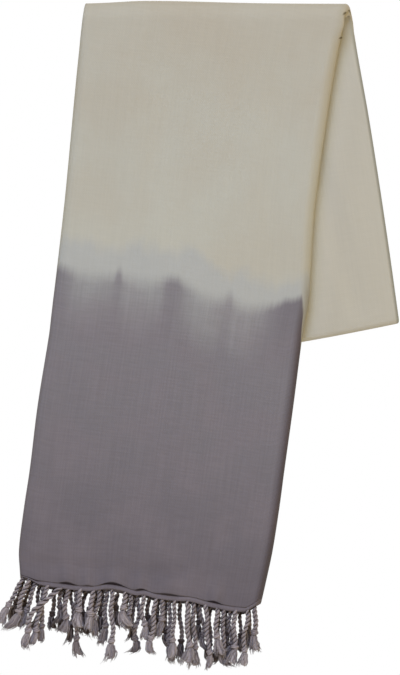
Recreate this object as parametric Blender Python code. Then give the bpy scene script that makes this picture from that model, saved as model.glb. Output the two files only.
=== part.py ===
"""A hammam towel: flat-woven cotton, folded in four along its length, doubled across, and hung askew.

Metres, +Z up, +X to the right, and the front flap faces -Y. The origin is the middle of the line
inside the top fold, where a slim bar would carry the towel. Three pieces are built: the woven cloth
with its hems, and the knotted fringe of each end, which both hang at the foot of the front flap.

The cloth is worked out in three moves. The section folds its width into four layers, which gives
a place across the towel and a depth. The stack of four is doubled over at the back flap's foot, so
depth runs from the inner strand (below 0) to the outer one (above 0). Then the doubled stack is laid
over the bar, where "run" is the way over the bar: 0 at the top, less in front and more behind.
"""

import math

import bmesh
import bpy

# The woven cloth and the spaces that its folds keep.
CLOTH_THICKNESS = 0.0010
LAYER_GAP = 0.0004
STRAND_GAP = 0.0005
FOLDED_WIDTH = 0.248
SELVEDGE_INSET = 0.0005
INNER_SELVEDGE_INSET = 0.0025

# The space that the bar takes, and the radius at which the middle of the doubled stack goes round it.
BAR_RADIUS = 0.0065
LAYERS = 4
LAYER_PITCH = CLOTH_THICKNESS + LAYER_GAP
STACK_HALF = STRAND_GAP / 2 + LAYERS * CLOTH_THICKNESS + (LAYERS - 1) * LAYER_GAP
MIDDLE_RADIUS = BAR_RADIUS + STACK_HALF
QUARTER_TURN = MIDDLE_RADIUS * math.pi / 2

# Where the towel's left and right edges hang, for the run over the bar. The towel lies askew, so it
# leans to the left going down in front, and to the right going down behind.
EDGE_COLUMNS = ("run", "left", "right")
EDGES = (
    (-0.610, -0.1915, 0.0408),
    (-0.562, -0.1952, 0.0516),
    (-0.542, -0.1961, 0.0551),
    (-0.502, -0.1914, 0.0613),
    (-0.463, -0.1855, 0.0667),
    (-0.400, -0.1777, 0.0759),
    (-0.328, -0.1660, 0.0848),
    (-0.196, -0.1508, 0.0981),
    (-0.057, -0.1374, 0.1188),
    (0.000, -0.1300, 0.1320),
    (0.057, -0.1140, 0.1425),
    (0.117, -0.0995, 0.1531),
    (0.235, -0.0800, 0.1712),
    (0.330, -0.0675, 0.1846),
)

# The front hem: its drop, its tilt from edge to edge, its bow, and the lifted right corner.
HEM_RUN = 0.5876
HEM_TILT = 0.0160
HEM_BOW = 0.0030
CORNER_START = 0.88
CORNER_LIFT = 0.0055

# Layers behind the front one hang a little lower for each bit of depth.
HEM_SLOPE = 0.35

# The doubled edge at the back flap's foot: its run, tilt and sag.
BACK_RUN = 0.3410
BACK_TILT = 0.0215
BACK_SAG = 0.0020

# The outer layer puckers near the hem, in shallow scallops between the tied yarns.
PUCKER_PITCH = 0.0394
PUCKER_FIRST = 0.0109
PUCKER_DEPTH = 0.0020
PUCKER_HEIGHT = 0.035
PUCKER_CLEAR_OF_FOLD = 0.022

# Slow waves in the two flaps: how far they stand out, how long they are, and where they fade in.
FRONT_WAVE = 0.0014
BACK_WAVE = 0.0010
WAVE_LENGTH = 0.31
WAVE_SLANT = 1.2
WAVE_FADE = 0.09

# The fringe: a narrow strip parted from the cloth's edge, with the tassels fused to it. Below the neck
# the tassels of all layers spread apart, front to back, and a wide swing bends sooner than a small one.
STRIP_HEIGHT = 0.0030
PART_GAP = 0.0003
ROOT_HALF_WIDTH = 0.0020
FIRST_ROOT_INSET = 0.0035
LAST_ROOT_INSET = 0.0055
TASSEL_PITCH = 0.0322
NECK_DROP = 0.0045
NECK_SPREAD = 1.5
FULL_SPREAD = 2.35
SPREAD_DROP = 0.016
SWING_BEND = 1300
KNOT_HALF_HEIGHT = 0.0036
BRUSH_LENGTH = 0.0180
BRUSH_CHANGE = 0.0022

# A tassel's rings: half the width, then half the depth.
RINGS = {
    "neck": (0.0019, 0.0018),
    "cord": (0.0021, 0.0018),
    "knot": (0.0036, 0.0034),
    "tie": (0.0021, 0.0018),
    "brush": (0.0037, 0.0029),
    "tip": (0.0029, 0.0022),
}

# The rows for each end's layers: the layer, where its first tassel stands from the left edge, the
# column of the two tables below that it takes its swings and drops from, and its share of that drop.
# The inner end's tassels hang behind the outer end's, a little shorter.
FRINGE_COLUMNS = ("layer", "first", "like", "share")
FRINGE = {
    "outer": ((1, 0.0098, 1, 1.0), (2, -0.0037, 2, 1.0), (3, 0.0160, 3, 1.0), (4, 0.0233, 4, 1.0)),
    "inner": ((1, 0.0120, 3, 0.90), (2, 0.0020, 3, 0.94), (3, 0.0190, 4, 0.80), (4, 0.0098, 3, 0.84)),
}

# How far each tassel's tip swings to the right, in millimetres. A row is a place along the hem, from
# the left edge to the right one, and the columns are the tassels of layers 1, 2, 3 and 4 there.
SWINGS = (
    (-16, -20, -14, -3),
    (-36, -15, -4, 1),
    (-6, -3, -7, -4),
    (-3, 0, -4, -3),
    (-7, 0, -2, 0),
    (2, -2, 2, 4),
    (-1, 5, -1, 0),
    (-6, -2, 0, 0),
)

# How far each tassel's tip hangs below its root, in millimetres, in the same rows and columns.
DROPS = (
    (51, 46, 46, 59),
    (59, 62, 48, 70),
    (39, 42, 48, 55),
    (36, 69, 37, 60),
    (55, 46, 40, 64),
    (62, 61, 65, 49),
    (46, 65, 60, 52),
    (55, 56, 46, 50),
)


def smooth(amount):
    """Goes from 0 to 1 with soft ends."""
    amount = min(max(amount, 0.0), 1.0)
    return amount * amount * (3 - 2 * amount)


def edge_at(run, column):
    """Reads an edge's place at any run, on a smooth curve through the table's rows."""
    index = EDGE_COLUMNS.index(column)
    rows = EDGES
    last = len(rows) - 2
    low = max(0, min(last, sum(1 for row in rows if row[0] <= run) - 1))
    (run_a, place_a), (run_b, place_b) = ((rows[low + i][0], rows[low + i][index]) for i in (0, 1))
    before = rows[max(low - 1, 0)]
    after = rows[min(low + 2, len(rows) - 1)]
    slope_a = (place_b - before[index]) / (run_b - before[0])
    slope_b = (after[index] - place_a) / (after[0] - run_a)
    span = run_b - run_a
    t = min(max((run - run_a) / span, 0.0), 1.0)
    return (
        place_a * (1 + 2 * t) * (1 - t) ** 2
        + place_b * t * t * (3 - 2 * t)
        + slope_a * span * t * (1 - t) ** 2
        - slope_b * span * t * t * (1 - t)
    )


def layer_depth(layer):
    """Gives the depth of a layer's middle, with layer 1 the outermost of the four."""
    return STACK_HALF - CLOTH_THICKNESS / 2 - (layer - 1) * LAYER_PITCH


def hem_run(across, depth):
    """Gives the run of the woven edge, at a place across the towel and a layer's depth."""
    share = across / (FOLDED_WIDTH / 2)
    drop = HEM_RUN + HEM_TILT * share - HEM_BOW * (1 - share * share)
    drop -= CORNER_LIFT * smooth((share - CORNER_START) / (1 - CORNER_START))
    behind = layer_depth(1) - depth
    return -(drop + HEM_SLOPE * behind)


def back_run(across):
    """Gives the run of the line round which the stack is doubled at the back flap's foot."""
    share = across / (FOLDED_WIDTH / 2)
    return BACK_RUN - BACK_TILT * share - BACK_SAG * share * share - STACK_HALF


def hang(across, run, depth):
    """Lays a point of the doubled stack over the bar."""
    left, right = edge_at(run, "left"), edge_at(run, "right")
    share = across / (FOLDED_WIDTH / 2)
    x = (left + right) / 2 + share * (right - left) / 2
    radius = MIDDLE_RADIUS + depth
    if abs(run) < QUARTER_TURN:
        angle = run / MIDDLE_RADIUS
        return x, radius * math.sin(angle), radius * math.cos(angle) - BAR_RADIUS
    side = math.copysign(1.0, run)
    fall = abs(run) - QUARTER_TURN
    wave = FRONT_WAVE if side < 0 else BACK_WAVE
    phase = (fall / WAVE_LENGTH + WAVE_SLANT * x) * 2 * math.pi
    y = side * radius + wave * smooth(fall / WAVE_FADE) * math.sin(phase)
    return x, y, -BAR_RADIUS - fall


def pucker(across, above_hem):
    """Gives how far the outer layer stands off the next one near the hem."""
    from_left = across + FOLDED_WIDTH / 2
    scallop = math.cos((from_left - PUCKER_FIRST) / PUCKER_PITCH * math.pi) ** 2
    edge = smooth((FOLDED_WIDTH / 2 - across) / PUCKER_CLEAR_OF_FOLD - 0.2)
    return PUCKER_DEPTH * scallop * edge * smooth(1 - above_hem / PUCKER_HEIGHT)


def straight_run(layer, start, end, places, facing):
    """Gives the section's points along one layer: across, depth, and the way its face looks."""
    depth = layer_depth(layer)
    inside = [p for p in sorted(places, reverse=end < start) if min(start, end) < p < max(start, end)]
    return [(across, depth, 0.0, facing, layer) for across in [start, *inside, end]]


def fold_turn(layer, centre, radius, start, end, steps, facing):
    """Gives the section's points round a fold, without the two ends that the layers already have."""
    points = []
    for step in range(1, steps):
        angle = start + (end - start) * step / steps
        out_across, out_depth = math.cos(angle), math.sin(angle)
        across = centre[0] + radius * out_across
        depth = centre[1] + radius * out_depth
        points.append((across, depth, facing * out_across, facing * out_depth, layer))
    return points


def fold_in_four(places):
    """Folds the width into four: layer 1, the wide turn to 4, the left turn to 3, the inner turn to 2."""
    half = FOLDED_WIDTH / 2
    wide, tight = 1.5 * LAYER_PITCH, 0.5 * LAYER_PITCH
    right = half - wide - CLOTH_THICKNESS / 2
    left = -half + tight + CLOTH_THICKNESS / 2
    right_turn = (right, (layer_depth(1) + layer_depth(4)) / 2)
    left_turn = (left, (layer_depth(3) + layer_depth(4)) / 2)
    up = math.pi / 2
    return (
        straight_run(1, -half + SELVEDGE_INSET, right, places[1], 1)
        + fold_turn(1, right_turn, wide, up, -up, 4, 1)
        + straight_run(4, right, left, places[4], -1)
        + fold_turn(3, left_turn, tight, -up, -3 * up, 3, 1)
        + straight_run(3, left, right, places[3], 1)
        + fold_turn(2, right_turn, tight, -up, up, 3, -1)
        + straight_run(2, right, -half + INNER_SELVEDGE_INSET, places[2], -1)
    )


def outline(section, place):
    """Gives the closed outline of the cloth's thickness, with each point put in its place."""
    faces = []
    for side in (1, -1):
        reach = side * CLOTH_THICKNESS / 2
        faces.append([place(point, reach) for point in section])
    return faces[0] + faces[1][::-1]


def put(strand, point, reach, run, stand_off=0.0):
    """Puts a section point where it hangs, on one face of the cloth, for a run over the bar."""
    across, depth, out_across, out_depth, layer = point
    sign = 1 if strand == "outer" else -1
    return hang(across + out_across * reach, run, sign * (depth + out_depth * reach + stand_off))


def above_hem(strand, point, height):
    """Gives a point's run at a height above its own layer's woven edge, and its pucker there."""
    across, depth, layer = point[0], point[1], point[4]
    sign = 1 if strand == "outer" else -1
    run = hem_run(across, sign * depth) + height
    return run, pucker(across, height) if layer == 1 else 0.0


def place_at_hem(strand, height):
    """Makes the rule that puts a section point at a height above the woven edge."""
    return lambda point, reach: put(strand, point, reach, *above_hem(strand, point, height))


def place_in_front(strand, share_up):
    """Makes the rule for a station of the front flap, a share of the way from its edge to the bar."""

    def place(point, reach):
        bottom = STRIP_HEIGHT + PART_GAP
        low = above_hem(strand, point, bottom)[0]
        climb = share_up * (-QUARTER_TURN - low)
        return put(strand, point, reach, *above_hem(strand, point, bottom + climb))

    return place


def place_on_bar(strand, turn):
    """Makes the rule for a station over the bar, from -1 in front to 1 behind."""
    return lambda point, reach: put(strand, point, reach, turn * QUARTER_TURN)


def place_behind(strand, share_down):
    """Makes the rule for a station of the back flap, a share of the way down to its doubled foot."""

    def place(point, reach):
        foot = back_run(point[0])
        return put(strand, point, reach, QUARTER_TURN + share_down * (foot - QUARTER_TURN))

    return place


def place_in_doubling(angle):
    """Makes the rule for a station of the turn at the back flap's foot."""

    def place(point, reach):
        across, depth, out_across, out_depth = point[:4]
        depth += out_depth * reach
        run = back_run(across) + depth * math.sin(angle)
        return hang(across + out_across * reach, run, depth * math.cos(angle))

    return place


def loft(bm, outlines):
    """Joins closed outlines into a tube of faces and returns the rings of its corners."""
    rings = [[bm.verts.new(point) for point in points] for points in outlines]
    count = len(rings[0])
    for low, high in zip(rings, rings[1:]):
        for i in range(count):
            j = (i + 1) % count
            bm.faces.new((low[i], low[j], high[j], high[i]))
    return rings


def close_end(bm, ring, skip=()):
    """Closes an end of the cloth's thickness with quads, apart from those that a tassel takes."""
    count = len(ring)
    for i in range(count // 2 - 1):
        if i not in skip:
            bm.faces.new((ring[i], ring[i + 1], ring[count - 2 - i], ring[count - 1 - i]))


def finish_object(name, bm, material):
    """Turns the faces outward and makes the named object."""
    bmesh.ops.recalc_face_normals(bm, faces=bm.faces)
    mesh = bpy.data.meshes.new(name)
    bm.to_mesh(mesh)
    bm.free()
    mesh.materials.append(material)
    mesh.shade_smooth()
    mesh.set_sharp_from_angle(angle=math.radians(50))
    made = bpy.data.objects.new(name, mesh)
    bpy.context.scene.collection.objects.link(made)
    return made


def cotton(name, colour):
    """Makes a dull cotton finish."""
    material = bpy.data.materials.new(name)
    material.use_nodes = True
    shader = material.node_tree.nodes["Principled BSDF"]
    shader.inputs["Base Color"].default_value = (*colour, 1.0)
    shader.inputs["Roughness"].default_value = 0.9
    shader.inputs["Metallic"].default_value = 0.0
    return material


def bend_places():
    """Gives the places across where every layer bends: its quarters and the lifted right corner."""
    half = FOLDED_WIDTH / 2
    middle = (1 + CORNER_START) / 2
    return [-half / 2, 0.0, half / 2, CORNER_START * half, middle * half]


def pucker_places():
    """Gives the places across of the pucker's crests and hollows."""
    count = int((FOLDED_WIDTH - PUCKER_FIRST) / PUCKER_PITCH * 2)
    return [PUCKER_FIRST + i * PUCKER_PITCH / 2 - FOLDED_WIDTH / 2 for i in range(count)]


def make_cloth():
    """Makes the woven cloth as one thin folded solid, from one hem over the bar and back."""
    bends = bend_places()
    section = fold_in_four({1: pucker_places() + bends[-2:], 2: bends, 3: bends, 4: bends})
    up_front = (0.0, 0.02, 0.06, 0.15, 0.27, 0.39, 0.51, 0.64, 0.76, 0.88)
    over_bar = [-1 + 2 * i / 8 for i in range(9)]
    down_back = (0.2, 0.4, 0.6, 0.8)
    doubling = [math.pi * i / 5 for i in range(6)]
    places = (
        [place_in_front("outer", share) for share in up_front]
        + [place_on_bar("outer", turn) for turn in over_bar]
        + [place_behind("outer", share) for share in down_back]
        + [place_in_doubling(angle) for angle in doubling]
        + [place_behind("inner", share) for share in down_back[::-1]]
        + [place_on_bar("inner", turn) for turn in over_bar[::-1]]
        + [place_in_front("inner", share) for share in up_front[::-1]]
    )
    bm = bmesh.new()
    rings = loft(bm, [outline(section, place) for place in places])
    close_end(bm, rings[0])
    close_end(bm, rings[-1])
    return finish_object("towel_cloth", bm, cotton("undyed_cotton", (0.49, 0.46, 0.38)))


def tassel_roots(strand):
    """Gives each tassel's layer, its number from the left, and its root's place across the towel."""
    half = FOLDED_WIDTH / 2
    roots = []
    for layer, first, *_ in FRINGE[strand]:
        for number in range(len(SWINGS)):
            from_left = max(first + number * TASSEL_PITCH, FIRST_ROOT_INSET)
            if from_left < FOLDED_WIDTH - LAST_ROOT_INSET:
                roots.append((layer, number, from_left - half))
    return roots


def tassel_fall(strand, layer, number):
    """Gives a tassel's swing and drop in metres, as its layer's row says."""
    row = dict(zip(FRINGE_COLUMNS, FRINGE[strand][layer - 1]))
    swing, drop = (table[number][row["like"] - 1] / 1000 for table in (SWINGS, DROPS))
    return swing, row["share"] * drop


def tassel_rings(strand, layer, number, root):
    """Gives the centre and half sizes of a tassel's rings, from its neck to its tip."""
    swing, drop = tassel_fall(strand, layer, number)
    brush = BRUSH_LENGTH + BRUSH_CHANGE * math.sin(2.4 * number + layer)
    knot = drop - brush
    heights = (
        ("neck", NECK_DROP),
        ("cord", (NECK_DROP + knot - KNOT_HALF_HEIGHT) / 2),
        ("cord", knot - KNOT_HALF_HEIGHT),
        ("knot", knot),
        ("tie", knot + KNOT_HALF_HEIGHT),
        ("brush", drop - brush / 3),
        ("tip", drop),
    )
    sign = 1 if strand == "outer" else -1
    away = -sign * layer_depth(layer)
    bend = 1 + SWING_BEND * swing * swing
    rings = []
    for name, down in heights:
        along = down / drop
        spread = NECK_SPREAD + (FULL_SPREAD - NECK_SPREAD) * smooth((down - NECK_DROP) / SPREAD_DROP)
        centre = (
            root[0] + swing * (1 - (1 - along) ** bend),
            root[1] + away * (spread - 1),
            root[2] - down,
        )
        rings.append((centre, *RINGS[name]))
    return rings


def grow_tassel(bm, corners, rings):
    """Grows a four-sided tassel from the strip's open quad, whose corners go left, right, right, left."""
    for (x, y, z), half_width, half_depth in rings:
        spots = ((-half_width, -half_depth), (half_width, -half_depth))
        spots += ((half_width, half_depth), (-half_width, half_depth))
        ring = [bm.verts.new((x + dx, y + dy, z)) for dx, dy in spots]
        for i in range(4):
            j = (i + 1) % 4
            bm.faces.new((corners[i], corners[j], ring[j], ring[i]))
        corners = ring
    bm.faces.new(corners)


def front_left_first(corners):
    """Orders a root's four corners as front left, front right, back right, back left."""
    by_depth = sorted(corners, key=lambda vert: vert.co.y)
    front = sorted(by_depth[:2], key=lambda vert: vert.co.x)
    back = sorted(by_depth[2:], key=lambda vert: vert.co.x)
    return [front[0], front[1], back[1], back[0]]


def fringe_section(roots):
    """Gives the strip's section, with a pair of points for each root and none inside a root."""
    places = {layer: bend_places() for layer in range(1, LAYERS + 1)}
    places[1] += pucker_places()
    for layer in places:
        mine = [across for of_layer, number, across in roots if of_layer == layer]
        clear = 1.5 * ROOT_HALF_WIDTH
        places[layer] = [place for place in places[layer] if all(abs(place - root) > clear for root in mine)]
        places[layer] += [root + side * ROOT_HALF_WIDTH for root in mine for side in (-1, 1)]
    return fold_in_four(places)


def root_index(section, layer, across):
    """Finds the first of the two section points that stand at a tassel's root."""
    near = [i for i, point in enumerate(section) if point[4] == layer]
    return min(sorted(near, key=lambda i: abs(section[i][0] - across))[:2])


def make_fringe(strand):
    """Makes one end's fringe: the narrow folded strip, with its knotted tassels grown from it."""
    roots = tassel_roots(strand)
    section = fringe_section(roots)
    bm = bmesh.new()
    stations = [place_at_hem(strand, STRIP_HEIGHT), place_at_hem(strand, 0.0)]
    top, bottom = loft(bm, [outline(section, place) for place in stations])
    close_end(bm, top)
    taken = set()
    for layer, number, across in roots:
        first = root_index(section, layer, across)
        taken.add(first)
        corners = [bottom[i] for i in (first, first + 1, -2 - first, -1 - first)]
        middle = (across, layer_depth(layer), 0.0, 0.0, layer)
        root = place_at_hem(strand, 0.0)(middle, 0.0)
        grow_tassel(bm, front_left_first(corners), tassel_rings(strand, layer, number, root))
    close_end(bm, bottom, taken)
    return finish_object(f"{strand}_fringe", bm, cotton(f"dyed_{strand}_yarn", (0.19, 0.17, 0.185)))


def main():
    for old in list(bpy.data.objects):
        bpy.data.objects.remove(old, do_unlink=True)
    make_cloth()
    for strand in ("outer", "inner"):
        make_fringe(strand)


main()
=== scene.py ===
# %% [markdown]
# # A hammam towel with a dipped end and a knotted fringe
#
# A hammam towel is a thin flat-woven cotton cloth, about one metre by two. Here it is folded in four
# along its length, doubled across, and laid over a slim bar, so both fringed ends hang in front.
# This lesson dresses the plain solids of that towel. The first cell brings the solids in, and prints
# the size of the box that each fills.

import math
import random

import bmesh
import bpy
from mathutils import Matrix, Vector


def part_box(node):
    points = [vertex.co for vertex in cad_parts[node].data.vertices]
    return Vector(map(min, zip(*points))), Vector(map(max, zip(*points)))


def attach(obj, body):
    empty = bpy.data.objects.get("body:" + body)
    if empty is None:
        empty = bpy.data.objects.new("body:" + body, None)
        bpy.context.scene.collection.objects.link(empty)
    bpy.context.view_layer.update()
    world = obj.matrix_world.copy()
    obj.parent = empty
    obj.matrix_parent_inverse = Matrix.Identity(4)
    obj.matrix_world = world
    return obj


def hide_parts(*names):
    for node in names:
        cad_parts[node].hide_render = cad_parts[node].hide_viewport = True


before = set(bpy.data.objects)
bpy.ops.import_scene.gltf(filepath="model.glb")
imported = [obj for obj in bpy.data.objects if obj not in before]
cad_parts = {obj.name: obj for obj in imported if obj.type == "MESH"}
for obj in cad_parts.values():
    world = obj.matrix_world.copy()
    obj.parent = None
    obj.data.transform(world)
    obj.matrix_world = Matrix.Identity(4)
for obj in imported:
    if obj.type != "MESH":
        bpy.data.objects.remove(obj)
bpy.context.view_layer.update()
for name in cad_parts:
    low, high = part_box(name)
    print(f"{name}: {[round(1000 * (b - a)) for a, b in zip(low, high)]} mm")

# %% [markdown]
# ## The camera
#
# The towel is seen level and straight on, as in a shop's picture. A wide lens close by would make the
# back flap look small, so a long lens stands well back. The frame is taller than wide, and Blender
# measures a lens across the longer side, so the lens follows from the height to be seen.

# %% Set up the camera
IMAGE_HEIGHT = 675
MM_A_PIXEL = 0.988
FRONT_FACE = -0.0179
CAMERA_AWAY = 2.6
SENSOR_MM = 36.0
MIDDLE_X, MIDDLE_Z = -0.0166, -0.3195

height_seen = IMAGE_HEIGHT * MM_A_PIXEL / 1000
camera_data = bpy.data.cameras.new("level_camera")
camera_data.sensor_width = SENSOR_MM
camera_data.lens = SENSOR_MM * CAMERA_AWAY / height_seen
camera_data.clip_end = 60.0
camera = bpy.data.objects.new("level_camera", camera_data)
bpy.context.scene.collection.objects.link(camera)
camera.location = (MIDDLE_X, FRONT_FACE - CAMERA_AWAY, MIDDLE_Z)
camera.rotation_euler = (math.pi / 2, 0.0, 0.0)
bpy.context.scene.camera = camera
print(f"lens {camera_data.lens:.0f} mm, {height_seen:.3f} m seen from top to bottom")

# %% [markdown]
# ## Floor and light
#
# A pale cloth in front of white paper is lit softly and from the front, so its face is even and only
# its rolled edges turn dark. One broad light does that. It stands high, so the hem throws a thin shade on
# what hangs behind it. A small light above picks out the top fold, a weak warm one at the right keeps
# that side's shade soft, and one behind serves the back. The main lamp is cool and the air is warm, so
# shade turns tan, as it does among folds of undyed cotton. The floor and the air are plain white to the
# eye, but give the cloth only a little light.

# %% Helpers for every material
# Settings that many nodes share: a range with soft ends, and a mix of two colours.
SOFT = {"interpolation_type": "SMOOTHSTEP"}
COLOURS = {"out": 2, "data_type": "RGBA"}


def from_hex(colour):
    """Turns an sRGB hex colour into the linear colour that Blender works in."""
    parts = [int(colour[i : i + 2], 16) / 255 for i in (1, 3, 5)]
    return (*(c / 12.92 if c <= 0.04045 else ((c + 0.055) / 1.055) ** 2.4 for c in parts), 1.0)


def add(tree, kind, inputs=None, out=0, **settings):
    """Adds a node with its settings, fills or links its inputs, and gives one of its outputs."""
    node = tree.nodes.new("ShaderNode" + kind)
    for name, value in settings.items():
        setattr(node, name, value)
    for name, value in (inputs or {}).items():
        if isinstance(value, bpy.types.NodeSocket):
            tree.links.new(value, node.inputs[name])
        else:
            node.inputs[name].default_value = from_hex(value) if isinstance(value, str) else value
    return node.outputs[out] if len(node.outputs) else node


def new_material(name):
    """Starts a material and gives it with its empty node tree."""
    material = bpy.data.materials.new(name)
    material.use_nodes = True
    material.node_tree.nodes.clear()
    return material, material.node_tree


print("half grey, as Blender sees it:", round(from_hex("#808080")[0], 3))

# %% Make the floor and the air around
FLOOR_Z = -0.80
FLOOR_HALF = 9.0
AIR_LIGHT = 0.60
WHITE, FLOOR_TINT, AIR_TINT = "#ffffff", "#dedcd7", "#ffebb8"

floor_mesh = bpy.data.meshes.new("pale_floor")
corners = [(x * FLOOR_HALF, y * FLOOR_HALF, FLOOR_Z) for x, y in ((-1, -1), (1, -1), (1, 1), (-1, 1))]
floor_mesh.from_pydata(corners, [], [(0, 1, 2, 3)])
floor = bpy.data.objects.new("pale_floor", floor_mesh)
bpy.context.scene.collection.objects.link(floor)

floor_paint, tree = new_material("matt_white_paint")
seen = add(tree, "LightPath")
glow = add(tree, "Emission", {"Color": WHITE, "Strength": 1.0})
matt = add(tree, "BsdfDiffuse", {"Color": FLOOR_TINT})
mixed = add(tree, "MixShader", {0: seen, 1: matt, 2: glow})
add(tree, "OutputMaterial", {"Surface": mixed})
floor_mesh.materials.append(floor_paint)

air = bpy.data.worlds.new("white_air")
air.use_nodes = True
air.node_tree.nodes.clear()
seen = add(air.node_tree, "LightPath")
soft = add(air.node_tree, "Background", {"Color": AIR_TINT, "Strength": AIR_LIGHT})
white = add(air.node_tree, "Background", {"Color": WHITE, "Strength": 1.0})
mixed = add(air.node_tree, "MixShader", {0: seen, 1: soft, 2: white})
add(air.node_tree, "OutputWorld", {"Surface": mixed})
bpy.context.scene.world = air
bpy.context.scene.view_settings.view_transform = "Standard"
print(f"floor {FLOOR_Z} m, {2 * FLOOR_HALF:.0f} m wide")

# %% Hang the lights
LIGHTS = (
    ("name", "place", "size", "watts", "colour"),
    ("broad_light", (-0.4, -3.0, 1.6), 1.5, 76.0, "#a5c5ff"),
    ("side_light", (2.2, -2.4, -0.2), 1.2, 16.0, "#ffe4b6"),
    ("top_light", (0.1, -0.5, 2.0), 0.9, 7.5, "#dfe8ff"),
    ("back_light", (0.8, 2.8, 0.9), 1.8, 62.0, "#c6d6ff"),
)
AIM = Vector((0.0, 0.0, -0.3))

for row in LIGHTS[1:]:
    light = dict(zip(LIGHTS[0], row))
    lamp_data = bpy.data.lights.new(light["name"], "AREA")
    lamp_data.size = light["size"]
    lamp_data.energy = light["watts"]
    lamp_data.color = from_hex(light["colour"])[:3]
    lamp = bpy.data.objects.new(light["name"], lamp_data)
    bpy.context.scene.collection.objects.link(lamp)
    lamp.location = light["place"]
    lamp.rotation_euler = (AIM - lamp.location).to_track_quat("-Z", "Y").to_euler()
    lamp.visible_camera = False
    print(f"{light['name']}: {light['watts']:.0f} W, {light['size']} m wide")

# %% [markdown]
# ## The cloth's sizes
#
# The cloth is one sheet. Folding it gives a place across the towel and a depth in the stack, and the
# stack is then laid over the bar, where "run" is the way over the bar: 0 at the top, less in front and
# more behind. The sizes are the solids' own, so that the fine cloth lies where the plain one does.

# %% Sizes of the folded cloth, in metres
CLOTH_THICKNESS = 0.0010
LAYER_PITCH = 0.0014
STACK_HALF = 0.00545
FOLDED_WIDTH = 0.248
HALF_WIDTH = FOLDED_WIDTH / 2
BAR_RADIUS = 0.0065
MIDDLE_RADIUS = BAR_RADIUS + STACK_HALF
QUARTER_TURN = MIDDLE_RADIUS * math.pi / 2
OUTER_SELVEDGE, INNER_SELVEDGE = 0.0005, 0.0025

# The first row of each table names its columns.
EDGES = (
    ("run", "left", "right"),
    (-0.610, -0.1915, 0.0408),
    (-0.562, -0.1952, 0.0516),
    (-0.542, -0.1961, 0.0557),
    (-0.502, -0.1914, 0.0619),
    (-0.463, -0.1855, 0.0671),
    (-0.400, -0.1777, 0.0759),
    (-0.328, -0.1660, 0.0853),
    (-0.314, -0.1644, 0.0878),
    (-0.295, -0.1622, 0.0915),
    (-0.260, -0.1580, 0.0935),
    (-0.196, -0.1508, 0.0981),
    (-0.057, -0.1374, 0.1188),
    (0.000, -0.1300, 0.1320),
    (0.057, -0.1140, 0.1425),
    (0.117, -0.0995, 0.1531),
    (0.235, -0.0800, 0.1712),
    (0.330, -0.0675, 0.1846),
)


def smooth(amount):
    """Goes from 0 to 1 with soft ends."""
    amount = min(max(amount, 0.0), 1.0)
    return amount * amount * (3 - 2 * amount)


def along(table, place, name):
    """Reads a table's named column at any place of its first column, on a smooth curve through its rows."""
    rows, column = table[1:], table[0].index(name)
    last = len(rows) - 2
    low = max(0, min(last, sum(1 for row in rows if row[0] <= place) - 1))
    (place_a, value_a), (place_b, value_b) = ((rows[low + i][0], rows[low + i][column]) for i in (0, 1))
    before, after = rows[max(low - 1, 0)], rows[min(low + 2, len(rows) - 1)]
    slope_a = (value_b - before[column]) / (place_b - before[0])
    slope_b = (after[column] - value_a) / (after[0] - place_a)
    span = place_b - place_a
    t = min(max((place - place_a) / span, 0.0), 1.0)
    return (
        value_a * (1 + 2 * t) * (1 - t) ** 2
        + value_b * t * t * (3 - 2 * t)
        + slope_a * span * t * (1 - t) ** 2
        - slope_b * span * t * t * (1 - t)
    )


left, right = along(EDGES, 0.0, "left"), along(EDGES, 0.0, "right")
print(f"the top fold is {1000 * (right - left):.0f} mm wide")

# %% [markdown]
# ## Waves, creases and rolled edges
#
# Pressed cotton hangs almost flat, but never quite. Its edges roll back where the folds push, long soft
# troughs run down from the bar, and the hem kicks out a little. A cloth simulation would make bolder
# folds than this towel has, so each trough is given in a row of its own, and moves the whole stack of
# layers together.

# %% Place the creases
CREASES = (
    ("run_a", "across_a", "run_b", "across_b", "half_width", "rise"),
    (-0.556, -0.112, -0.566, 0.034, 0.013, -0.0026),
    (-0.040, -0.085, -0.420, 0.015, 0.038, 0.0014),
    (-0.060, 0.075, -0.300, 0.088, 0.026, -0.0011),
    (-0.350, -0.085, -0.520, -0.045, 0.022, 0.0010),
    (-0.330, 0.045, -0.530, 0.082, 0.026, -0.0012),
    (-0.020, -0.020, -0.260, -0.050, 0.020, -0.0007),
    (0.060, 0.050, 0.300, 0.085, 0.020, 0.0012),
    (0.090, -0.075, 0.300, -0.035, 0.026, -0.0014),
)
FRONT_WAVE, BACK_WAVE = 0.0014, 0.0010
WAVE_LENGTH, WAVE_SLANT, WAVE_FADE = 0.31, 1.2, 0.09
LEFT_ROLL_WIDTH, LEFT_ROLL_BACK = 0.008, 0.0034

# The right edge rolls back by different amounts on its way over the bar: softly high up in front, and
# like a bent card low down.
RIGHT_ROLLS = (
    ("run", "width", "back"),
    (-0.600, 0.0070, 0.0100),
    (-0.530, 0.0060, 0.0075),
    (-0.480, 0.0050, 0.0045),
    (-0.400, 0.0055, 0.0035),
    (-0.330, 0.0080, 0.0055),
    (-0.290, 0.0110, 0.0075),
    (-0.200, 0.0115, 0.0078),
    (-0.030, 0.0110, 0.0072),
    (0.000, 0.0070, 0.0040),
    (0.060, 0.0045, 0.0035),
    (0.330, 0.0045, 0.0035),
)


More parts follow.
